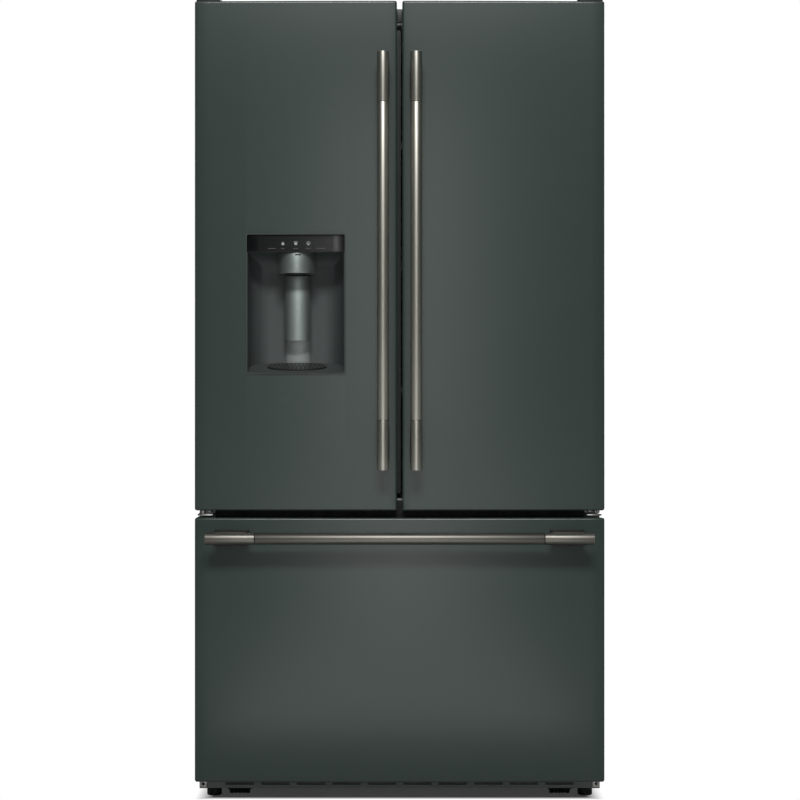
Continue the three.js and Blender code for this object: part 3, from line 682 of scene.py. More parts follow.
# The nozzle is a turned shroud in satin metal over a dark throat that ice and water fall through.
# Under it hangs a curved paddle of the same metal, which a glass pushes back.
satin_metal = coat("satin_shroud", linear(168, 178, 174), 0.45, 0.9, drift=0.06, patches=12, grain=900,
                   stretch=(1, 1, 8), deep=0.00001, bump=0.15)
throat_dark = coat("throat_dark", linear(14, 15, 15), 0.6)
noz_x0, noz_x1, noz_y0, noz_y1, noz_z0, noz_z1 = extent("dispenser_nozzle")
noz_x, noz_y, noz_r = (noz_x0 + noz_x1) / 2, (noz_y0 + noz_y1) / 2, (noz_x1 - noz_x0) / 2
shroud = disc("nozzle_shroud", "z", noz_r, noz_z1 - noz_z0, noz_x, noz_y, (noz_z0 + noz_z1) / 2, 96)
carve(shroud, disc("bore", "z", noz_r - 2.2, 30, noz_x, noz_y, noz_z0, 96))
soften(shroud, 0.8, 3, 40)
dress(shroud, satin_metal, "left_door", "pewter", "dispenser_nozzle")
throat = disc("nozzle_throat", "z", 25, 16, noz_x, noz_y, noz_z0 + 9.5, 64)
carve(throat, disc("bore", "z", 20, 12, noz_x, noz_y, noz_z0 + 2, 64))
collar = disc("collar", "z", noz_r - 3, 4, noz_x, noz_y, noz_z0 + 12, 64)
dress(soften(merge("nozzle_throat", throat, collar), 0.6, 2), throat_dark, "left_door", "dark_plastic")


def on_round(outline, x, y, radius, z, name):
    """Wraps a flat sign round the front of an upright cylinder."""
    sign = film(name, outline, x, 0, z)
    slices(sign, 0, [x + u for u in spread(-6, 6, 7)])
    for vertex in sign.data.vertices:
        across = vertex.co.x / MM - x
        vertex.co.y += (y - math.sqrt(radius**2 - across**2)) * MM
    return sign


# This printed sign takes the backlit sign material, so it glows faintly though nothing lights it: a painted glow.
drop = on_round(drop_outline(2.6), noz_x + 3, noz_y, noz_r + 0.12, noz_z0 + 15, "nozzle_drop_sign")
dress(drop, sign_white, "left_door", "white_plastic")
tag_bar = [(-8, -1.6), (8, -1.6), (8, 1.6), (-8, 1.6)]
tag = on_round(tag_bar, noz_x + 3, noz_y, noz_r + 0.12, noz_z1 - 5.5, "nozzle_tag")
dress(tag, throat_dark, "left_door", "dark_plastic")

pad_x0, pad_x1, pad_y0, pad_y1, pad_z0, pad_z1 = extent("dispenser_paddle")
pad_x, pad_half, pad_deep = (pad_x0 + pad_x1) / 2, (pad_x1 - pad_x0) / 2, pad_y1 - pad_y0
paddle = disc("paddle_plate", "z", pad_half, pad_z1 - pad_z0, pad_x, pad_y1, (pad_z0 + pad_z1) / 2, 96)
for vertex in paddle.data.vertices:
    vertex.co.y = pad_y1 * MM + (vertex.co.y - pad_y1 * MM) * pad_deep / pad_half
inner = disc("inner", "z", pad_half - 3, pad_z1 - pad_z0 + 20, pad_x, pad_y1, (pad_z0 + pad_z1) / 2 - 8, 96)
for vertex in inner.data.vertices:
    vertex.co.y = pad_y1 * MM + (vertex.co.y - pad_y1 * MM) * (pad_deep - 3) / (pad_half - 3)
rear_half = block("rear", pad_x - 60, pad_x + 60, pad_y1, pad_y1 + 60, pad_z0 - 20, pad_z1 + 20)
carve(paddle, inner, rear_half)
soften(paddle, 0.8, 3, 40)
dress(paddle, satin_metal, "paddle", "pewter", "dispenser_paddle")
paddle_mid = (pad_z0 + pad_z1) / 2 + 1
cup = [(-1.9, -4), (1.9, -4), (2.9, 3), (1.9, 3), (1.2, -3), (-1.2, -3), (-1.9, 3), (-2.9, 3)]
# This printed sign takes the backlit sign material, so it glows faintly though nothing lights it: a painted glow.
cup_sign = film("paddle_sign", cup, pad_x + 3, 0, paddle_mid)
for vertex in cup_sign.data.vertices:
    across = (vertex.co.x / MM - pad_x) / pad_half
    vertex.co.y += (pad_y1 - pad_deep * math.sqrt(1 - across**2) - 0.12) * MM
dress(cup_sign, sign_white, "paddle", "white_plastic")

# The drip tray is an oval dish with a slotted grid over it. It lies on the rising niche floor and
# pulls out forwards to be emptied.
tray_x0, tray_x1, tray_y0, tray_y1, tray_z0, tray_z1 = extent("drip_tray")
tray_x, tray_y, tray_half = (tray_x0 + tray_x1) / 2, (tray_y0 + tray_y1) / 2, (tray_x1 - tray_x0) / 2
tray_plastic = coat("tray_plastic", linear(44, 48, 47), 0.38, drift=0.1, grain=1200, bump=0.3)
dish = disc("drip_dish", "z", tray_half, 3.6, 0, 0, 0, 96)
carve(dish, disc("well", "z", tray_half - 4, 4, 0, 0, 2.6, 96))
slats = []
for offset in range(-54, 55, 9):
    reach = math.sqrt((tray_half - 3) ** 2 - offset**2)
    slats.append(block("slat", offset - 2.2, offset + 2.2, -reach, reach, 0.4, 1.7))
dish = merge("drip_grid", dish, *slats)
tray_slope = math.atan2(niche_rise, niche_back - disp_y0)
lie = Matrix.Translation(Vector((tray_x, tray_y, (tray_z0 + tray_z1) / 2)) * MM)
dish.data.transform(lie @ Matrix.Rotation(tray_slope, 4, "X") @ Matrix.Diagonal((1, 0.55, 1, 1)))
soften(dish, 0.5, 2)
dress(dish, tray_plastic, "tray", "dark_plastic", "drip_tray")

# ---------------------------------------------------------------- cabinet
# A wrap of painted sheet steel, folded into a box, with foam blown between it and the liners. Its
# front edge is a flat flange that the door seals close on, with a steel rail across the middle.


def cad_copy(name, node, radius, segments=3, angle=35):
    """A copy of a CAD node with its triangles merged into flat faces and its edges rounded."""
    obj = bpy.data.objects.new(name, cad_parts[node].data.copy())
    scene.collection.objects.link(obj)
    choose(obj)
    bpy.ops.mesh.customdata_custom_splitnormals_clear()
    bpy.ops.object.mode_set(mode="EDIT")
    bpy.ops.mesh.select_all(action="SELECT")
    bpy.ops.mesh.remove_doubles(threshold=0.000002)
    bpy.ops.mesh.dissolve_limited(angle_limit=math.radians(1))
    bpy.ops.mesh.vert_connect_concave()
    bpy.ops.object.mode_set(mode="OBJECT")
    return soften(obj, radius, segments, angle)


side_paint = coat("side_paint", linear(52, 58, 56), 0.5, drift=0.08, patches=2.5, grain=260, deep=0.00008,
                  bump=0.35, worn=0.4, worn_colour=linear(96, 102, 99))
dress(cad_copy("cabinet_shell", "cabinet_wrap", 1.2), side_paint, "cabinet", "green_paint", "cabinet_wrap")
rail_black = coat("rail_black", linear(15, 16, 16), 0.6, drift=0.15, patches=8, grain=400, bump=0.3, worn=0.3)
dress(cad_copy("middle_rail", "centre_rail", 1.0), rail_black, "cabinet", "green_paint", "centre_rail")

white_moulded = coat("white_moulding", linear(232, 234, 234), 0.32, drift=0.05, patches=4, grain=1400,
                     bump=0.25, worn=0.2, worn_colour=(0.95, 0.95, 0.95))
white_satin = coat("white_sheet", linear(226, 229, 229), 0.42, drift=0.06, patches=8, grain=700, bump=0.3)
dress(cad_copy("fresh_liner", "fresh_food_liner", 2.4, 4), white_moulded, "cabinet", "white_plastic",
      "fresh_food_liner")
dress(cad_copy("frozen_liner", "freezer_liner", 2.4, 4), white_moulded, "cabinet", "white_plastic",
      "freezer_liner")

foam_skin = coat("blown_foam", linear(236, 218, 168), 0.95, drift=0.25, patches=14, grain=140, deep=0.0006,
                 bump=0.8)
foam_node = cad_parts["cabinet_foam"]
foam_node.data.materials.clear()
foam_node.data.materials.append(foam_skin)

# ---------------------------------------------------------------- rear of the cabinet
# A galvanised panel, stiffened by pressed beads and held by screws, above a slotted plastic cover
# over the machine space. The water inlet valve sits in the corner of that cover.


def galvanised(name, colour=(0.55, 0.56, 0.56), roughness=0.38, spangle=70):
    """Zinc-coated steel: flat crystals, each a little lighter or darker than the next."""
    material = coat(name, colour, roughness, 0.9, grain=1800, deep=0.00001, bump=0.2)
    nodes, links = material.node_tree.nodes, material.node_tree.links
    shader = nodes["Principled BSDF"]
    where = nodes.new("ShaderNodeTexCoord")
    crystals = nodes.new("ShaderNodeTexVoronoi")
    crystals.inputs["Scale"].default_value = spangle
    links.new(where.outputs["Object"], crystals.inputs["Vector"])
    split = nodes.new("ShaderNodeSeparateColor")
    links.new(crystals.outputs["Color"], split.inputs["Color"])
    shade = nodes.new("ShaderNodeMix")
    shade.data_type = "RGBA"
    shade.inputs["A"].default_value = (*[c * 0.8 for c in colour], 1)
    shade.inputs["B"].default_value = (*[min(1.0, c * 1.2) for c in colour], 1)
    links.new(split.outputs["Red"], shade.inputs["Factor"])
    links.new(shade.outputs["Result"], shader.inputs["Base Color"])
    return material


zinc = galvanised("spangled_zinc")
zinc_fine = galvanised("plated_zinc", (0.6, 0.6, 0.57), 0.3, 240)
dark_plastic = coat("dark_moulding", linear(34, 35, 36), 0.45, drift=0.12, patches=9, grain=1100,
                    deep=0.00003, bump=0.4, worn=0.6, worn_colour=linear(80, 82, 83))

rp_x0, rp_x1, rp_y0, rp_y1, rp_z0, rp_z1 = extent("rear_panel")
rear = block("rear_sheet", rp_x0, rp_x1, rp_y0, rp_y1 - 1, rp_z0, rp_z1)
bead_heights = [rp_z0 + 160 + 190 * i for i in range(8)]
slices(rear, 2, [z + step for z in bead_heights for step in (-9, 9)])
slices(rear, 0, [rp_x0 + 70, rp_x1 - 70])
pick(rear, lambda centre, normal: normal.y > 0.9 and abs(centre.x) < rp_x1 - 70
     and any(abs(centre.z - z) < 5 for z in bead_heights))
bpy.ops.mesh.extrude_region_move(TRANSFORM_OT_translate={"value": (0, 0.0035, 0)})
bpy.ops.object.mode_set(mode="OBJECT")
soften(rear, 1.4, 3, 30)
dress(rear, zinc, "cabinet", "galvanised_steel", "rear_panel")
dress(cad_copy("machine_cover_sheet", "machine_cover", 1.2), dark_plastic, "cabinet", "dark_plastic",
      "machine_cover")


def screw_head(name, axis, x, y, z, radius=4.2, high=2.6):
    """A hexagon head on its washer."""
    shift = {"x": (high / 2, 0, 0), "y": (0, high / 2, 0), "z": (0, 0, high / 2)}[axis]
    head = disc(name, axis, radius, high, x + shift[0], y + shift[1], z + shift[2], 6)
    washer = disc(name, axis, radius * 1.45, 0.9, x, y, z, 24)
    return soften(merge(name, head, washer), 0.25, 2)


heads = []
for z in (rp_z0 + 20, 640, 1000, 1360, rp_z1 - 20):
    heads += [screw_head("head", "y", side * 436, rp_y1 - 0.8, z) for side in (-1, 1)]
for x in (-430, -215, 0, 215, 430):
    heads += [screw_head("head", "y", x, rp_y1 + 3.8, z) for z in (62, 244)]
dress(merge("rear_screws", *heads), zinc_fine, "cabinet", "galvanised_steel")
inlet = [disc("boss", "y", 15, 8, -380, 449, 232, 48), disc("thread", "y", 10, 9, -380, 454, 232, 48)]
for step in range(4):
    inlet.append(disc("turn", "y", 10.8, 0.9, -380, 452.4 + step * 1.8, 232, 48))
brass = coat("plain_brass", (0.62, 0.46, 0.22), 0.32, 1.0, drift=0.15, patches=30, worn=0.5,
             worn_colour=(0.8, 0.68, 0.42))
dress(soften(merge("water_inlet", *inlet), 0.3, 2), brass, "cabinet", "galvanised_steel")

# ---------------------------------------------------------------- base, feet and rollers
# A welded steel base carries the cabinet. Two black levelling feet on threaded stems stand at the
# front corners, with rubber rollers behind brackets beside them, and a slotted kick plate between.
# The base is painted dark so that it reads as shade through the kick plate's slots: painted shade.
base_black = coat("base_steel", linear(46, 48, 47), 0.5, 0.4, drift=0.2, patches=16, grain=500,
                  deep=0.00004, bump=0.35, worn=0.8, worn_colour=linear(120, 120, 118))
# The kick plate is painted a lighter grey to lift the shade it sits in under the drawer: painted light.
kick_lifted_grey = coat("kick_lifted_grey", linear(132, 137, 135), 0.5, drift=0.1, patches=9, grain=1100, deep=0.00003,
                 bump=0.35, worn=0.4)
dress(cad_copy("base_rails", "base_frame", 0.7, 2), base_black, "cabinet", "galvanised_steel", "base_frame")
dress(cad_copy("kick_plate", "toe_grille", 0.9), kick_lifted_grey, "cabinet", "dark_plastic", "toe_grille")
for hand, side in (("left", -1), ("right", 1)):
    plates = [
        block("plate", side * 434.5, side * 450.5, -304.2, -301.2, 22, 47),
        block("tongue", side * 437, side * 448, -306, -303, 38, 44),
        screw_head("bolt", "y", side * 442.5, -303.4, 30, 3.6, -2.2),
    ]
    dress(soften(merge(f"{hand}_corner_plate", *plates), 0.4, 2), zinc_fine, "cabinet", "galvanised_steel")

foot_black = coat("foot_black", linear(20, 20, 21), 0.5, drift=0.2, patches=30, grain=900, bump=0.5,
                  worn=0.5, worn_colour=linear(70, 70, 70))
for hand in ("left", "right"):
    x0, x1, y0, y1, z0, z1 = extent(f"{hand}_leg")
    x, y, radius = (x0 + x1) / 2, (y0 + y1) / 2, (x1 - x0) / 2
    foot = soften(disc("foot", "z", radius, 18, x, y, 9, 48), 2.2, 4)
    notches = [disc("notch", "z", 2.2, 12, x + (radius + 0.6) * math.cos(a), y + (radius + 0.6) * math.sin(a),
                    12, 16) for a in [k * math.pi / 4 for k in range(8)]]
    carve(foot, merge("notches", *notches))
    turns = [disc("turn", "z", 5.0, 1.1, x, y, 21 + 2.2 * k, 32) for k in range(17)]
    stem = merge("stem", disc("core", "z", 4.2, z1 - 16, x, y, (z1 + 16) / 2 + 0.5, 32), *turns)
    nut = disc("nut", "z", 8.6, 4, x, y, 21.2, 6)
    leg = soften(merge(f"{hand}_foot", foot, stem, nut), 0.3, 2)
    dress(leg, foot_black, f"{hand}_levelling_leg", "dark_plastic", f"{hand}_leg")

tread_rubber = coat("tread_rubber", linear(24, 24, 25), 0.75, drift=0.25, patches=60, grain=1500,
                    deep=0.00006, bump=0.6)
hub_grey = coat("hub_grey", linear(96, 98, 98), 0.5, drift=0.12, patches=40, grain=1200, bump=0.3)
for place in ("front_left", "front_right", "rear_left", "rear_right"):
    x0, x1, y0, y1, z0, z1 = extent(f"{place}_roller")
    x, y, z, radius, wide = (x0 + x1) / 2, (y0 + y1) / 2, (z0 + z1) / 2, (z1 - z0) / 2, x1 - x0
    tyre = disc(f"{place}_tyre", "x", radius, wide, x, y, z, 64)
    carve(tyre, disc("bore", "x", radius - 6, wide + 4, x, y, z, 48))
    grooves = [disc("groove", "x", radius + 2, 1.6, x + dx, y, z, 64) for dx in (-12, -4, 4, 12)]
    for groove in grooves:
        carve(groove, disc("core", "x", radius - 1.2, 6, x, y, z, 64))
        carve(tyre, groove)
    dress(soften(tyre, 1.1, 3, 45), tread_rubber, f"{place}_wheel", "roller_rubber", f"{place}_roller")
    hub = disc(f"{place}_hub", "x", radius - 5.8, wide - 3, x, y, z, 48)
    carve(hub, disc("bore", "x", 4.5, wide + 4, x, y, z, 32))
    for k in range(5):
        a = 2 * math.pi * k / 5
        spot = (y + 9.6 * math.cos(a), z + 9.6 * math.sin(a))
        carve(hub, disc("pocket", "x", 2.6, wide + 4, x, *spot, 20))
    dress(soften(hub, 0.6, 2, 45), hub_grey, f"{place}_wheel", "roller_rubber")

# ---------------------------------------------------------------- cooling system
# A black hermetic compressor on rubber grommets, a finned condenser and its fan stand in the machine
# space. Behind the freezer's back cover are an aluminium coil and the fan that blows the cold air.


def pipe(name, points, radius, sides=12):
    """A bent tube through a few points, in millimetres."""
    line = bpy.data.curves.new(name, "CURVE")
    line.dimensions = "3D"
    line.bevel_depth = radius * MM
    line.bevel_resolution = max(1, sides // 4)
    line.use_fill_caps = True
    path = line.splines.new("NURBS")
    path.points.add(len(points) - 1)
    for knot, place in zip(path.points, points):
        knot.co = (*[value * MM for value in place], 1)
    path.use_endpoint_u = True
    path.order_u = 3
    path.resolution_u = 6
    obj = bpy.data.objects.new(name, line)
    scene.collection.objects.link(obj)
    choose(obj)
    bpy.ops.object.convert(target="MESH")
    bpy.ops.object.mode_set(mode="EDIT")
    bpy.ops.mesh.select_all(action="SELECT")
    bpy.ops.mesh.remove_doubles(threshold=0.00001)
    bpy.ops.object.mode_set(mode="OBJECT")
    bpy.ops.object.shade_smooth()
    return bpy.context.object


enamel = coat("black_enamel", linear(18, 18, 20), 0.28, drift=0.15, patches=12, grain=300, deep=0.00008,
              bump=0.3, worn=0.6, worn_colour=linear(70, 70, 72))
pot_x, pot_y = -230, 295
pot = soften(disc("pot", "z", 75, 146, pot_x, pot_y, 139, 96), 30, 10, 45)
weld = soften(disc("weld", "z", 77.5, 5, pot_x, pot_y, 132, 96), 1.6, 3)
skirt = soften(block("skirt", pot_x - 88, pot_x + 88, 237, 353, 57, 63), 2.0, 3)
box_cover = soften(block("terminal_cover", pot_x - 24, pot_x + 24, 212, 238, 112, 168), 4, 4)
dress(merge("compressor_pot", pot, weld, skirt, box_cover), enamel, "cabinet", "dark_plastic", "compressor")
grommets = []
for gx in (-78, 78):
    for gy in (246, 344):
        grommets.append(disc("grommet", "z", 9, 12, pot_x + gx, gy, 57, 32))
        grommets.append(disc("cap", "z", 6, 8, pot_x + gx, gy, 67, 32))
dress(soften(merge("compressor_grommets", *grommets), 1.2, 3), tread_rubber, "cabinet", "roller_rubber")
copper = coat("drawn_copper", (0.80, 0.42, 0.28), 0.3, 1.0, drift=0.2, patches=25, grain=600, bump=0.2)
pipes = [
    pipe("suction", [(-170, 310, 196), (-150, 318, 215), (-110, 318, 222), (-60, 300, 205), (-40, 290, 150),
                     (-20, 318, 100), (60, 318, 90), (96, 300, 96)], 3.2),
    pipe("discharge", [(-180, 260, 200), (-150, 240, 212), (-90, 222, 205), (-70, 214, 120), (-20, 214, 84),
                       (70, 214, 80), (96, 224, 78)], 3.2),
]
dress(merge("copper_pipes", *pipes), copper, "cabinet", "galvanised_steel")

cd_x0, cd_x1, cd_y0, cd_y1, cd_z0, cd_z1 = extent("condenser")
aluminium = coat("fin_aluminium", (0.72, 0.73, 0.74), 0.35, 1.0, drift=0.12, patches=20, grain=900, bump=0.2)
fin_count = 44
fins = [block("fin", x, x + 0.8, cd_y0 + 2, cd_y1 - 2, cd_z0 + 14, cd_z1)
        for x in spread(cd_x0 + 6, cd_x1 - 7, fin_count)]
ends = [block("end", x, x + 2, cd_y0, cd_y1, cd_z0 + 8, cd_z1) for x in (cd_x0 + 3, cd_x1 - 5)]
dress(merge("condenser_fins", *fins, *ends), aluminium, "cabinet", "galvanised_steel", "condenser")
tubes = []
for row in range(4):
    for col in range(3):
        y, z = cd_y0 + 24 + col * 41, cd_z0 + 34 + row * 30
        tubes.append(disc("tube", "x", 4, cd_x1 - cd_x0 - 4, (cd_x0 + cd_x1) / 2, y, z, 20))
pan = block("pan", cd_x0, cd_x1, cd_y0, cd_y1, cd_z0, cd_z0 + 13)
pan = drop_faces(pan, lambda centre, normal: normal.z > 0.9)
modify(pan, "SOLIDIFY", thickness=0.0015, offset=-1)
dress(merge("condenser_tubes", *tubes, pan), copper, "cabinet", "galvanised_steel")

dress(cad_copy("condenser_fan_blades", "condenser_fan", 0.7), dark_plastic, "condenser_fan_wheel",
      "dark_plastic", "condenser_fan")
dress(cad_copy("evaporator_fan_blades", "evaporator_fan", 0.7), dark_plastic, "evaporator_fan_wheel",
      "dark_plastic", "evaporator_fan")
shroud_plate = block("condenser_fan_frame", -24, 24, 200, 330, 63, 193)
carve(shroud_plate, disc("throat", "x", 59.5, 80, 0, 265, 128, 96))
motor = disc("motor", "x", 13, 20, 26, 265, 128, 32)
struts = [block("strut", 18, 22, 263, 267, 66, 128), block("strut", 18, 22, 202, 330, 126, 130)]
dress(soften(merge("condenser_fan_frame", shroud_plate, motor, *struts), 0.9, 2, 45), white_satin, "cabinet",
      "grey_plastic")

dress(cad_copy("freezer_back_cover", "evaporator_cover", 1.6), white_moulded, "cabinet", "white_plastic",
      "evaporator_cover")
rings = []
for radius in (14, 24, 34, 44, 54):
    bpy.ops.object.select_all(action="DESELECT")
    bpy.ops.mesh.primitive_torus_add(
        major_radius=radius * MM, minor_radius=0.0012, major_segments=64, minor_segments=10,
        location=(0, 0.2625, 0.44), rotation=(math.pi / 2, 0, 0),
    )
    rings.append(settle("ring"))
bars = [block("bar", -56, 56, 261.5, 263.5, 438.8, 441.2), block("bar", -1.2, 1.2, 261.5, 263.5, 384, 496)]
dress(merge("fan_guard", *rings, *[soften(bar, 0.4, 2) for bar in bars]), white_satin, "cabinet",
      "white_plastic")
cold_fins = [block("fin", x, x + 0.6, 271, 322, 296, 372) for x in spread(-300, 300, 60)]
cold_tubes = [disc("tube", "x", 4, 612, 0, y, z, 16) for y in (284, 309) for z in (312, 334, 356)]
dress(merge("cold_coil", *cold_fins, *cold_tubes), aluminium, "cabinet", "galvanised_steel")

# ---------------------------------------------------------------- inside the fresh food space
# Three tempered glass shelves in moulded edge strips rest on the liner's ledges. An air tower stands
# down the back wall, a lamp is set in the ceiling, and a water filter twists into its boss.
shelf_glass, glass_tree, glass_shader = finish("tempered_glass", (0.80, 0.93, 0.90), 0.03)
glass_shader.inputs["Transmission Weight"].default_value = 1.0
glass_shader.inputs["IOR"].default_value = 1.5
smears = glass_tree.nodes.new("ShaderNodeGroup")
smears.node_tree = uneven_coat
smears.inputs["Colour"].default_value = (0.80, 0.93, 0.90, 1)
smears.inputs["Roughness"].default_value = 0.05
smears.inputs["Drift"].default_value = 0.8
glass_tree.links.new(smears.outputs["Roughness"], glass_shader.inputs["Roughness"])
glass_tree.links.new(smears.outputs["Colour"], glass_shader.inputs["Base Color"])
strip_grey = coat("edge_strip", linear(206, 210, 211), 0.35, drift=0.06, patches=8, grain=900, bump=0.25)

for name in ("upper_shelf", "middle_shelf", "crisper_cover"):
    x0, x1, y0, y1, z0, z1 = extent(name)
    pane = soften(block(f"{name}_glass", x0 + 2, x1 - 2, y0 + 4, y1 - 3, z0 + 3, z0 + 7), 0.8, 3)
    dress(pane, shelf_glass, "cabinet", "shelf_glass", name)
    strips = []
    for sx0, sx1, sy0, sy1, sz0 in ((x0, x1, y0, y0 + 16, z0 - 6), (x0, x1, y1 - 11, y1, z0 + 0.2)):
        strip = block("strip", sx0 + 0.2, sx1 - 0.2, sy0, sy1, sz0, z1 + (1.5 if sy0 == y0 else 0))
        strips.append(soften(strip, 2.2, 4))
    for side in (-1, 1):
        strip = block("strip", side * (x1 - 9), side * (x1 - 0.2), y0 + 14, y1 - 9, z0 + 0.2, z1)
        strips.append(soften(strip, 1, 3))
    dress(merge(f"{name}_strips", *strips), strip_grey, "cabinet", "grey_plastic")

dress(cad_copy("air_tower_moulding", "air_tower", 3.0, 4), white_moulded, "cabinet", "white_plastic",
      "air_tower")
vanes = []
tower_front = extent("air_tower")[2]
for z in (1016, 1136, 1296, 1416, 1566, 1646):
    for x in range(-35, 36, 10):
        vanes.append(block("vane", x - 0.8, x + 0.8, tower_front + 1, tower_front + 10, z - 6.5, z + 6.5))
dress(merge("air_tower_vanes", *vanes), dark_plastic, "cabinet", "dark_plastic")

# The ceiling lamp is a satin lens in a white surround. It is off, as it is with the doors shut, yet its lens
# keeps a faint painted glow.
lamp_lens, _, lamp_shader = finish("lamp_lens", (0.95, 0.97, 1.0), 0.3)
lamp_shader.inputs["Emission Color"].default_value = (0.9, 0.96, 1.0, 1)
lamp_shader.inputs["Emission Strength"].default_value = 0.01
lens = soften(block("ceiling_lens", -90, 90, -70, 10, 1731, 1739), 3.5, 4)
dress(lens, lamp_lens, "cabinet", "white_plastic")
surround = block("ceiling_surround", -98, 98, -78, 18, 1733.5, 1740.2)
carve(surround, block("opening", -91, 91, -71, 11, 1720, 1745))
dress(soften(surround, 1.2, 3), white_satin, "cabinet", "white_plastic")

wf_x0, wf_x1, wf_y0, wf_y1, wf_z0, wf_z1 = extent("water_filter")
wf_x, wf_z, wf_r = (wf_x0 + wf_x1) / 2, (wf_z0 + wf_z1) / 2, (wf_x1 - wf_x0) / 2
wf_head = wf_y0 + 11
cartridge = disc("cartridge", "y", wf_r - 1.5, wf_y1 - wf_head, wf_x, (wf_head + wf_y1) / 2, wf_z, 96)
soften(cartridge, 3, 4)
cap = soften(disc("cap", "y", wf_r, 26, wf_x, wf_head + 13, wf_z, 96), 3, 4)
ribs = [disc("rib", "y", wf_r - 0.6, 1.6, wf_x, wf_head + 40 + 6 * k, wf_z, 96) for k in range(4)]
grip = soften(block("grip", wf_x - 3.5, wf_x + 3.5, wf_y0, wf_head + 3, wf_z - 26, wf_z + 26), 2, 4)
dress(merge("filter_cartridge", cartridge, cap, *ribs, grip), white_moulded, "filter", "white_plastic",
      "water_filter")

# ---------------------------------------------------------------- clear drawers and bins
# Each is injection moulded in clear plastic, with rounded corners and a rolled rim. The crispers and
# bins carry a pale strip along the front that hides the rim and is the place to pull.
clear_plastic, clear_tree, clear_shader = finish("clear_moulding", (0.88, 0.93, 0.94), 0.08)
clear_shader.inputs["Transmission Weight"].default_value = 0.92
clear_shader.inputs["IOR"].default_value = 1.49
haze = clear_tree.nodes.new("ShaderNodeGroup")
haze.node_tree = uneven_coat
haze.inputs["Colour"].default_value = (0.88, 0.93, 0.94, 1)
haze.inputs["Roughness"].default_value = 0.10
haze.inputs["Drift"].default_value = 0.5
clear_tree.links.new(haze.outputs["Roughness"], clear_shader.inputs["Roughness"])
clear_tree.links.new(haze.outputs["Colour"], clear_shader.inputs["Base Color"])


def tub(name, x0, x1, y0, y1, z0, z1, corner, wall=2.4):
    """An open tub with rounded corners and a rolled rim."""
    shell = block(name, x0, x1, y0, y1, z0, z1)
    drop_faces(shell, lambda centre, normal: normal.z > 0.9)
    modify(shell, "BEVEL", width=corner * MM, segments=6, limit_method="ANGLE",
           angle_limit=math.radians(60))
    modify(shell, "SOLIDIFY", thickness=wall * MM, offset=-1)
    return soften(shell, 0.6, 2, 50)


def front_strip(name, x0, x1, y, z0, z1, thick=4.5):
    """A rounded strip over the front edge of a tub, with a shallow pull under it."""
    bar = soften(block(name, x0, x1, y - thick, y, z0, z1), 1.8, 4)
    lip = soften(block("lip", x0 + 60, x1 - 60, y - thick - 3, y - thick + 1, z0, z0 + 5), 1.2, 3)
    return merge(name, bar, lip)


for hand in ("left", "right"):
    x0, x1, y0, y1, z0, z1 = extent(f"{hand}_crisper")
    dress(tub(f"{hand}_crisper_tub", x0, x1, y0 + 4, y1, z0, z1, 14, 3), clear_plastic,
          f"{hand}_crisper_drawer", "clear_plastic", f"{hand}_crisper")
    pull = front_strip(f"{hand}_crisper_pull", x0 + 1, x1 - 1, y0 + 6, z1 - 34, z1)
    dress(pull, strip_grey, f"{hand}_crisper_drawer", "grey_plastic")

for node, body in (("left_door_bin", "left_door"), ("right_upper_bin", "right_door"),
                   ("right_lower_bin", "right_door"), ("ice_box", "left_door")):
    x0, x1, y0, y1, z0, z1 = extent(node)
    low = tub(f"{node}_tub", x0, x1, y0, y1 - 3, z0, z1, 16, 2.6)
    dress(low, clear_plastic, body, "clear_plastic", node)
    rail = soften(block(f"{node}_rail", x0 + 4, x1 - 4, y1 - 5, y1, z1 - 26, z1 + 1), 1.8, 4)
    dress(rail, strip_grey, body, "grey_plastic")
ib_x0, ib_x1, ib_y0, ib_y1, _, ib_z1 = extent("ice_box")
lid = soften(block("ice_box_lid", ib_x0 - 6, ib_x1 + 6, ib_y0 + 2, ib_y1 + 2, ib_z1 + 2, ib_z1 + 16), 5, 5)
dress(lid, white_moulded, "left_door", "white_plastic")

_, fb_x1, fb_y0, fb_y1, fb_z0, fb_z1 = extent("freezer_bin")
bin_half = fb_x1 - 23
dress(tub("freezer_tub", -bin_half, bin_half, fb_y0, fb_y1, fb_z0, fb_z1 - 0.5, 18, 3), clear_plastic,
      "freezer_drawer", "clear_plastic", "freezer_bin")
for hand, side in (("left", -1), ("right", 1)):
    flange = block(f"{hand}_tub_flange", side * (bin_half - 1), side * fb_x1, fb_y0 + 12, fb_y1 - 12,
                   fb_z1 - 3.2, fb_z1)
    dress(soften(flange, 1, 3), clear_plastic, "freezer_drawer", "clear_plastic")

# The upper basket is steel wire: heavy rims with thin wires laid across between them, welded
# at each crossing and dipped in white nylon. Its two side flanges run on the freezer liner's ledges.
white_wire = coat("dipped_wire", linear(228, 230, 230), 0.3, drift=0.08, patches=20, grain=600, bump=0.3)
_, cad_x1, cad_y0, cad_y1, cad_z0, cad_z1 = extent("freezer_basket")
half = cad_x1 - 14
wires = []
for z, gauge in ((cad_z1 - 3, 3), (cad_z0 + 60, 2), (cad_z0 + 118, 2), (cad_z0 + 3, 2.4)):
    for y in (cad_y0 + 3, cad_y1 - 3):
        wires.append(disc("wire", "x", gauge, 2 * half, 0, y, z, 12))
    for side in (-1, 1):
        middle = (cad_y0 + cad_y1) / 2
        wires.append(disc("wire", "y", gauge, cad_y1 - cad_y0 - 4, side * (half - 1), middle, z, 12))
for x in spread(-half, half, 21):
    wires.append(disc("wire", "y", 1.5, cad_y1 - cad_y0 - 6, x, (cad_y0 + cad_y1) / 2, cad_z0 + 5, 10))
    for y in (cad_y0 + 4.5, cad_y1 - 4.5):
        wires.append(disc("wire", "z", 1.5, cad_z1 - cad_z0 - 6, x, y, (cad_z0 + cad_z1) / 2, 10))
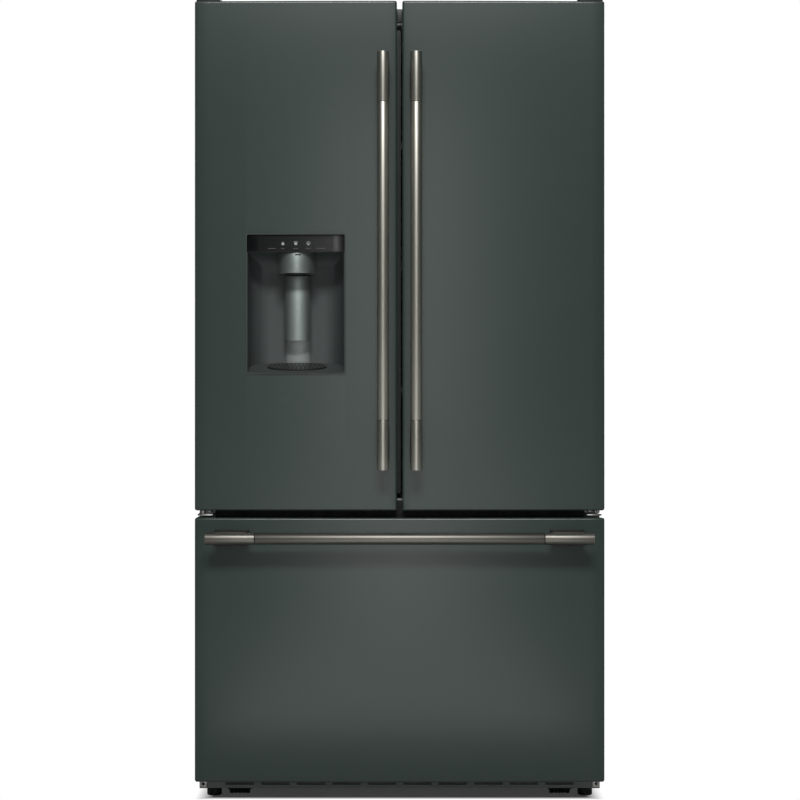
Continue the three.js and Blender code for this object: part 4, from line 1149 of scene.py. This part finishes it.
for y in spread(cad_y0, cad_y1, 11):
    wires.append(disc("wire", "x", 1.5, 2 * half - 4, 0, y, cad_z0 + 2.4, 10))
    for side in (-1, 1):
        wires.append(disc("wire", "z", 1.5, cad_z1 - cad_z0 - 6, side * (half - 3), y, (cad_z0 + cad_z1) / 2, 10))
for side in (-1, 1):
    wires.append(block("flange", side * (half - 1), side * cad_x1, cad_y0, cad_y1, 476.3, 479.5))
basket = merge("wire_basket", *wires)
choose(basket)
bpy.ops.object.shade_smooth_by_angle(angle=math.radians(40))
dress(basket, white_wire, "upper_basket", "white_plastic", "freezer_basket")

# ---------------------------------------------------------------- slides
# Rolled steel channels screwed to the freezer liner, with the drawer's runners inside them. The
# runners are bolted to the drawer's inner panel and joined at the rear by a cross bar.
for hand in ("left", "right"):
    dress(cad_copy(f"{hand}_slide_channel", f"{hand}_fixed_slide", 0.8), zinc_fine, "cabinet",
          "galvanised_steel", f"{hand}_fixed_slide")
dress(cad_copy("drawer_runners", "drawer_frame", 1.0), zinc_fine, "freezer_drawer", "galvanised_steel",
      "drawer_frame")

# ---------------------------------------------------------------- hinges
# The top hinges are pressed steel arms bolted to the roof, each under a clipped plastic cover, and
# their pins drop into the doors. The middle pair are bolted to the rail and lift the doors.
for hand, side in (("left", -1), ("right", 1)):
    dress(cad_copy(f"{hand}_top_hinge_arm", f"{hand}_top_hinge", 0.8), zinc_fine, "cabinet",
          "galvanised_steel", f"{hand}_top_hinge")
    dress(cad_copy(f"{hand}_hinge_cap", f"{hand}_hinge_cover", 2.6, 5), dark_plastic, "cabinet",
          "dark_plastic", f"{hand}_hinge_cover")
    dress(cad_copy(f"{hand}_middle_hinge", f"{hand}_centre_hinge", 0.8), zinc_fine, "cabinet",
          "galvanised_steel", f"{hand}_centre_hinge")
    places = ((412, -275), (412, -215), (436, -215))
    bolts = [screw_head("bolt", "z", side * x, y, 1783.4, 4.6, 2.6) for x, y in places]
    bolts += [screw_head("bolt", "y", side * x, -302.5, 645, 3.0, -1.8) for x in (422, 443)]
    dress(merge(f"{hand}_hinge_bolts", *bolts), zinc_fine, "cabinet", "galvanised_steel")

# ---------------------------------------------------------------- inner panels, seals and flap
# Each front is closed at the rear by a white moulded panel. A soft magnetic seal is pushed into a
# groove round it, and a heated flap on the left door folds out to close the gap in the middle.
for node, body in (("left_door_liner", "left_door"), ("right_door_liner", "right_door"),
                   ("drawer_liner", "freezer_drawer")):
    inner = cad_copy(node.replace("liner", "inner_panel"), node, 2.6, 4)
    dress(inner, white_moulded, body, "white_plastic", node)

seal_grey = coat("seal_vinyl", linear(44, 46, 46), 0.7, drift=0.12, patches=20, grain=1100, deep=0.00003,
                 bump=0.4)


def seal_ring(name, x0, x1, z0, z1, y0, y1, wide):
    """A rectangular loop, rounded over, one layer of a seal."""
    loop = block(name, x0, x1, y0, y1, z0, z1)
    carve(loop, block("middle", x0 + wide, x1 - wide, y0 - 5, y1 + 5, z0 + wide, z1 - wide))
    return soften(loop, min(1.2, (y1 - y0) / 3), 3, 45)


for node, body in (("left_door_gasket", "left_door"), ("right_door_gasket", "right_door"),
                   ("drawer_gasket", "freezer_drawer")):
    x0, x1, y0, y1, z0, z1 = extent(node)
    layers = [
        seal_ring("root", x0 + 3, x1 - 3, z0 + 3, z1 - 3, y0, y0 + 3.4, 8),
        seal_ring("bellows", x0 + 1.5, x1 - 1.5, z0 + 1.5, z1 - 1.5, y0 + 3.0, y0 + 6.2, 11),
        seal_ring("magnet", x0, x1, z0, z1, y0 + 5.8, y1, 14),
    ]
    dress(merge(node.replace("gasket", "seal"), *layers), seal_grey, body, "seal_rubber", node)

# The flap's grey is darkened as painted shade for the dark gap between the doors; its lip and guide take the same
# grey.
gap_shaded_flap_grey = coat("gap_shaded_flap_grey", linear(54, 58, 57), 0.45, drift=0.08, patches=6, grain=900, bump=0.3)
dress(cad_copy("folding_flap", "mullion_flap", 1.8, 4), gap_shaded_flap_grey, "mullion", "grey_plastic", "mullion_flap")
# A soft lip on the flap's free edge covers what is left of the gap, short of the right door.
lip = block("flap_lip", 0.3, 3.0, -299.8, -297.9, 686, 1726)
dress(soften(lip, 0.7, 3), gap_shaded_flap_grey, "mullion", "seal_rubber")
guide = block("flap_guide", -9, 9, -304, -298.2, 1744, 1774)
modify(guide, "BEVEL", width=0.002, segments=3, limit_method="ANGLE")
pick(guide, lambda centre, normal: normal.z < -0.9)
bpy.ops.transform.resize(value=(0.55, 1, 1), center_override=(0, -0.301, 1.744))
bpy.ops.object.mode_set(mode="OBJECT")
dress(soften(guide, 0.6, 2), gap_shaded_flap_grey, "cabinet", "grey_plastic")
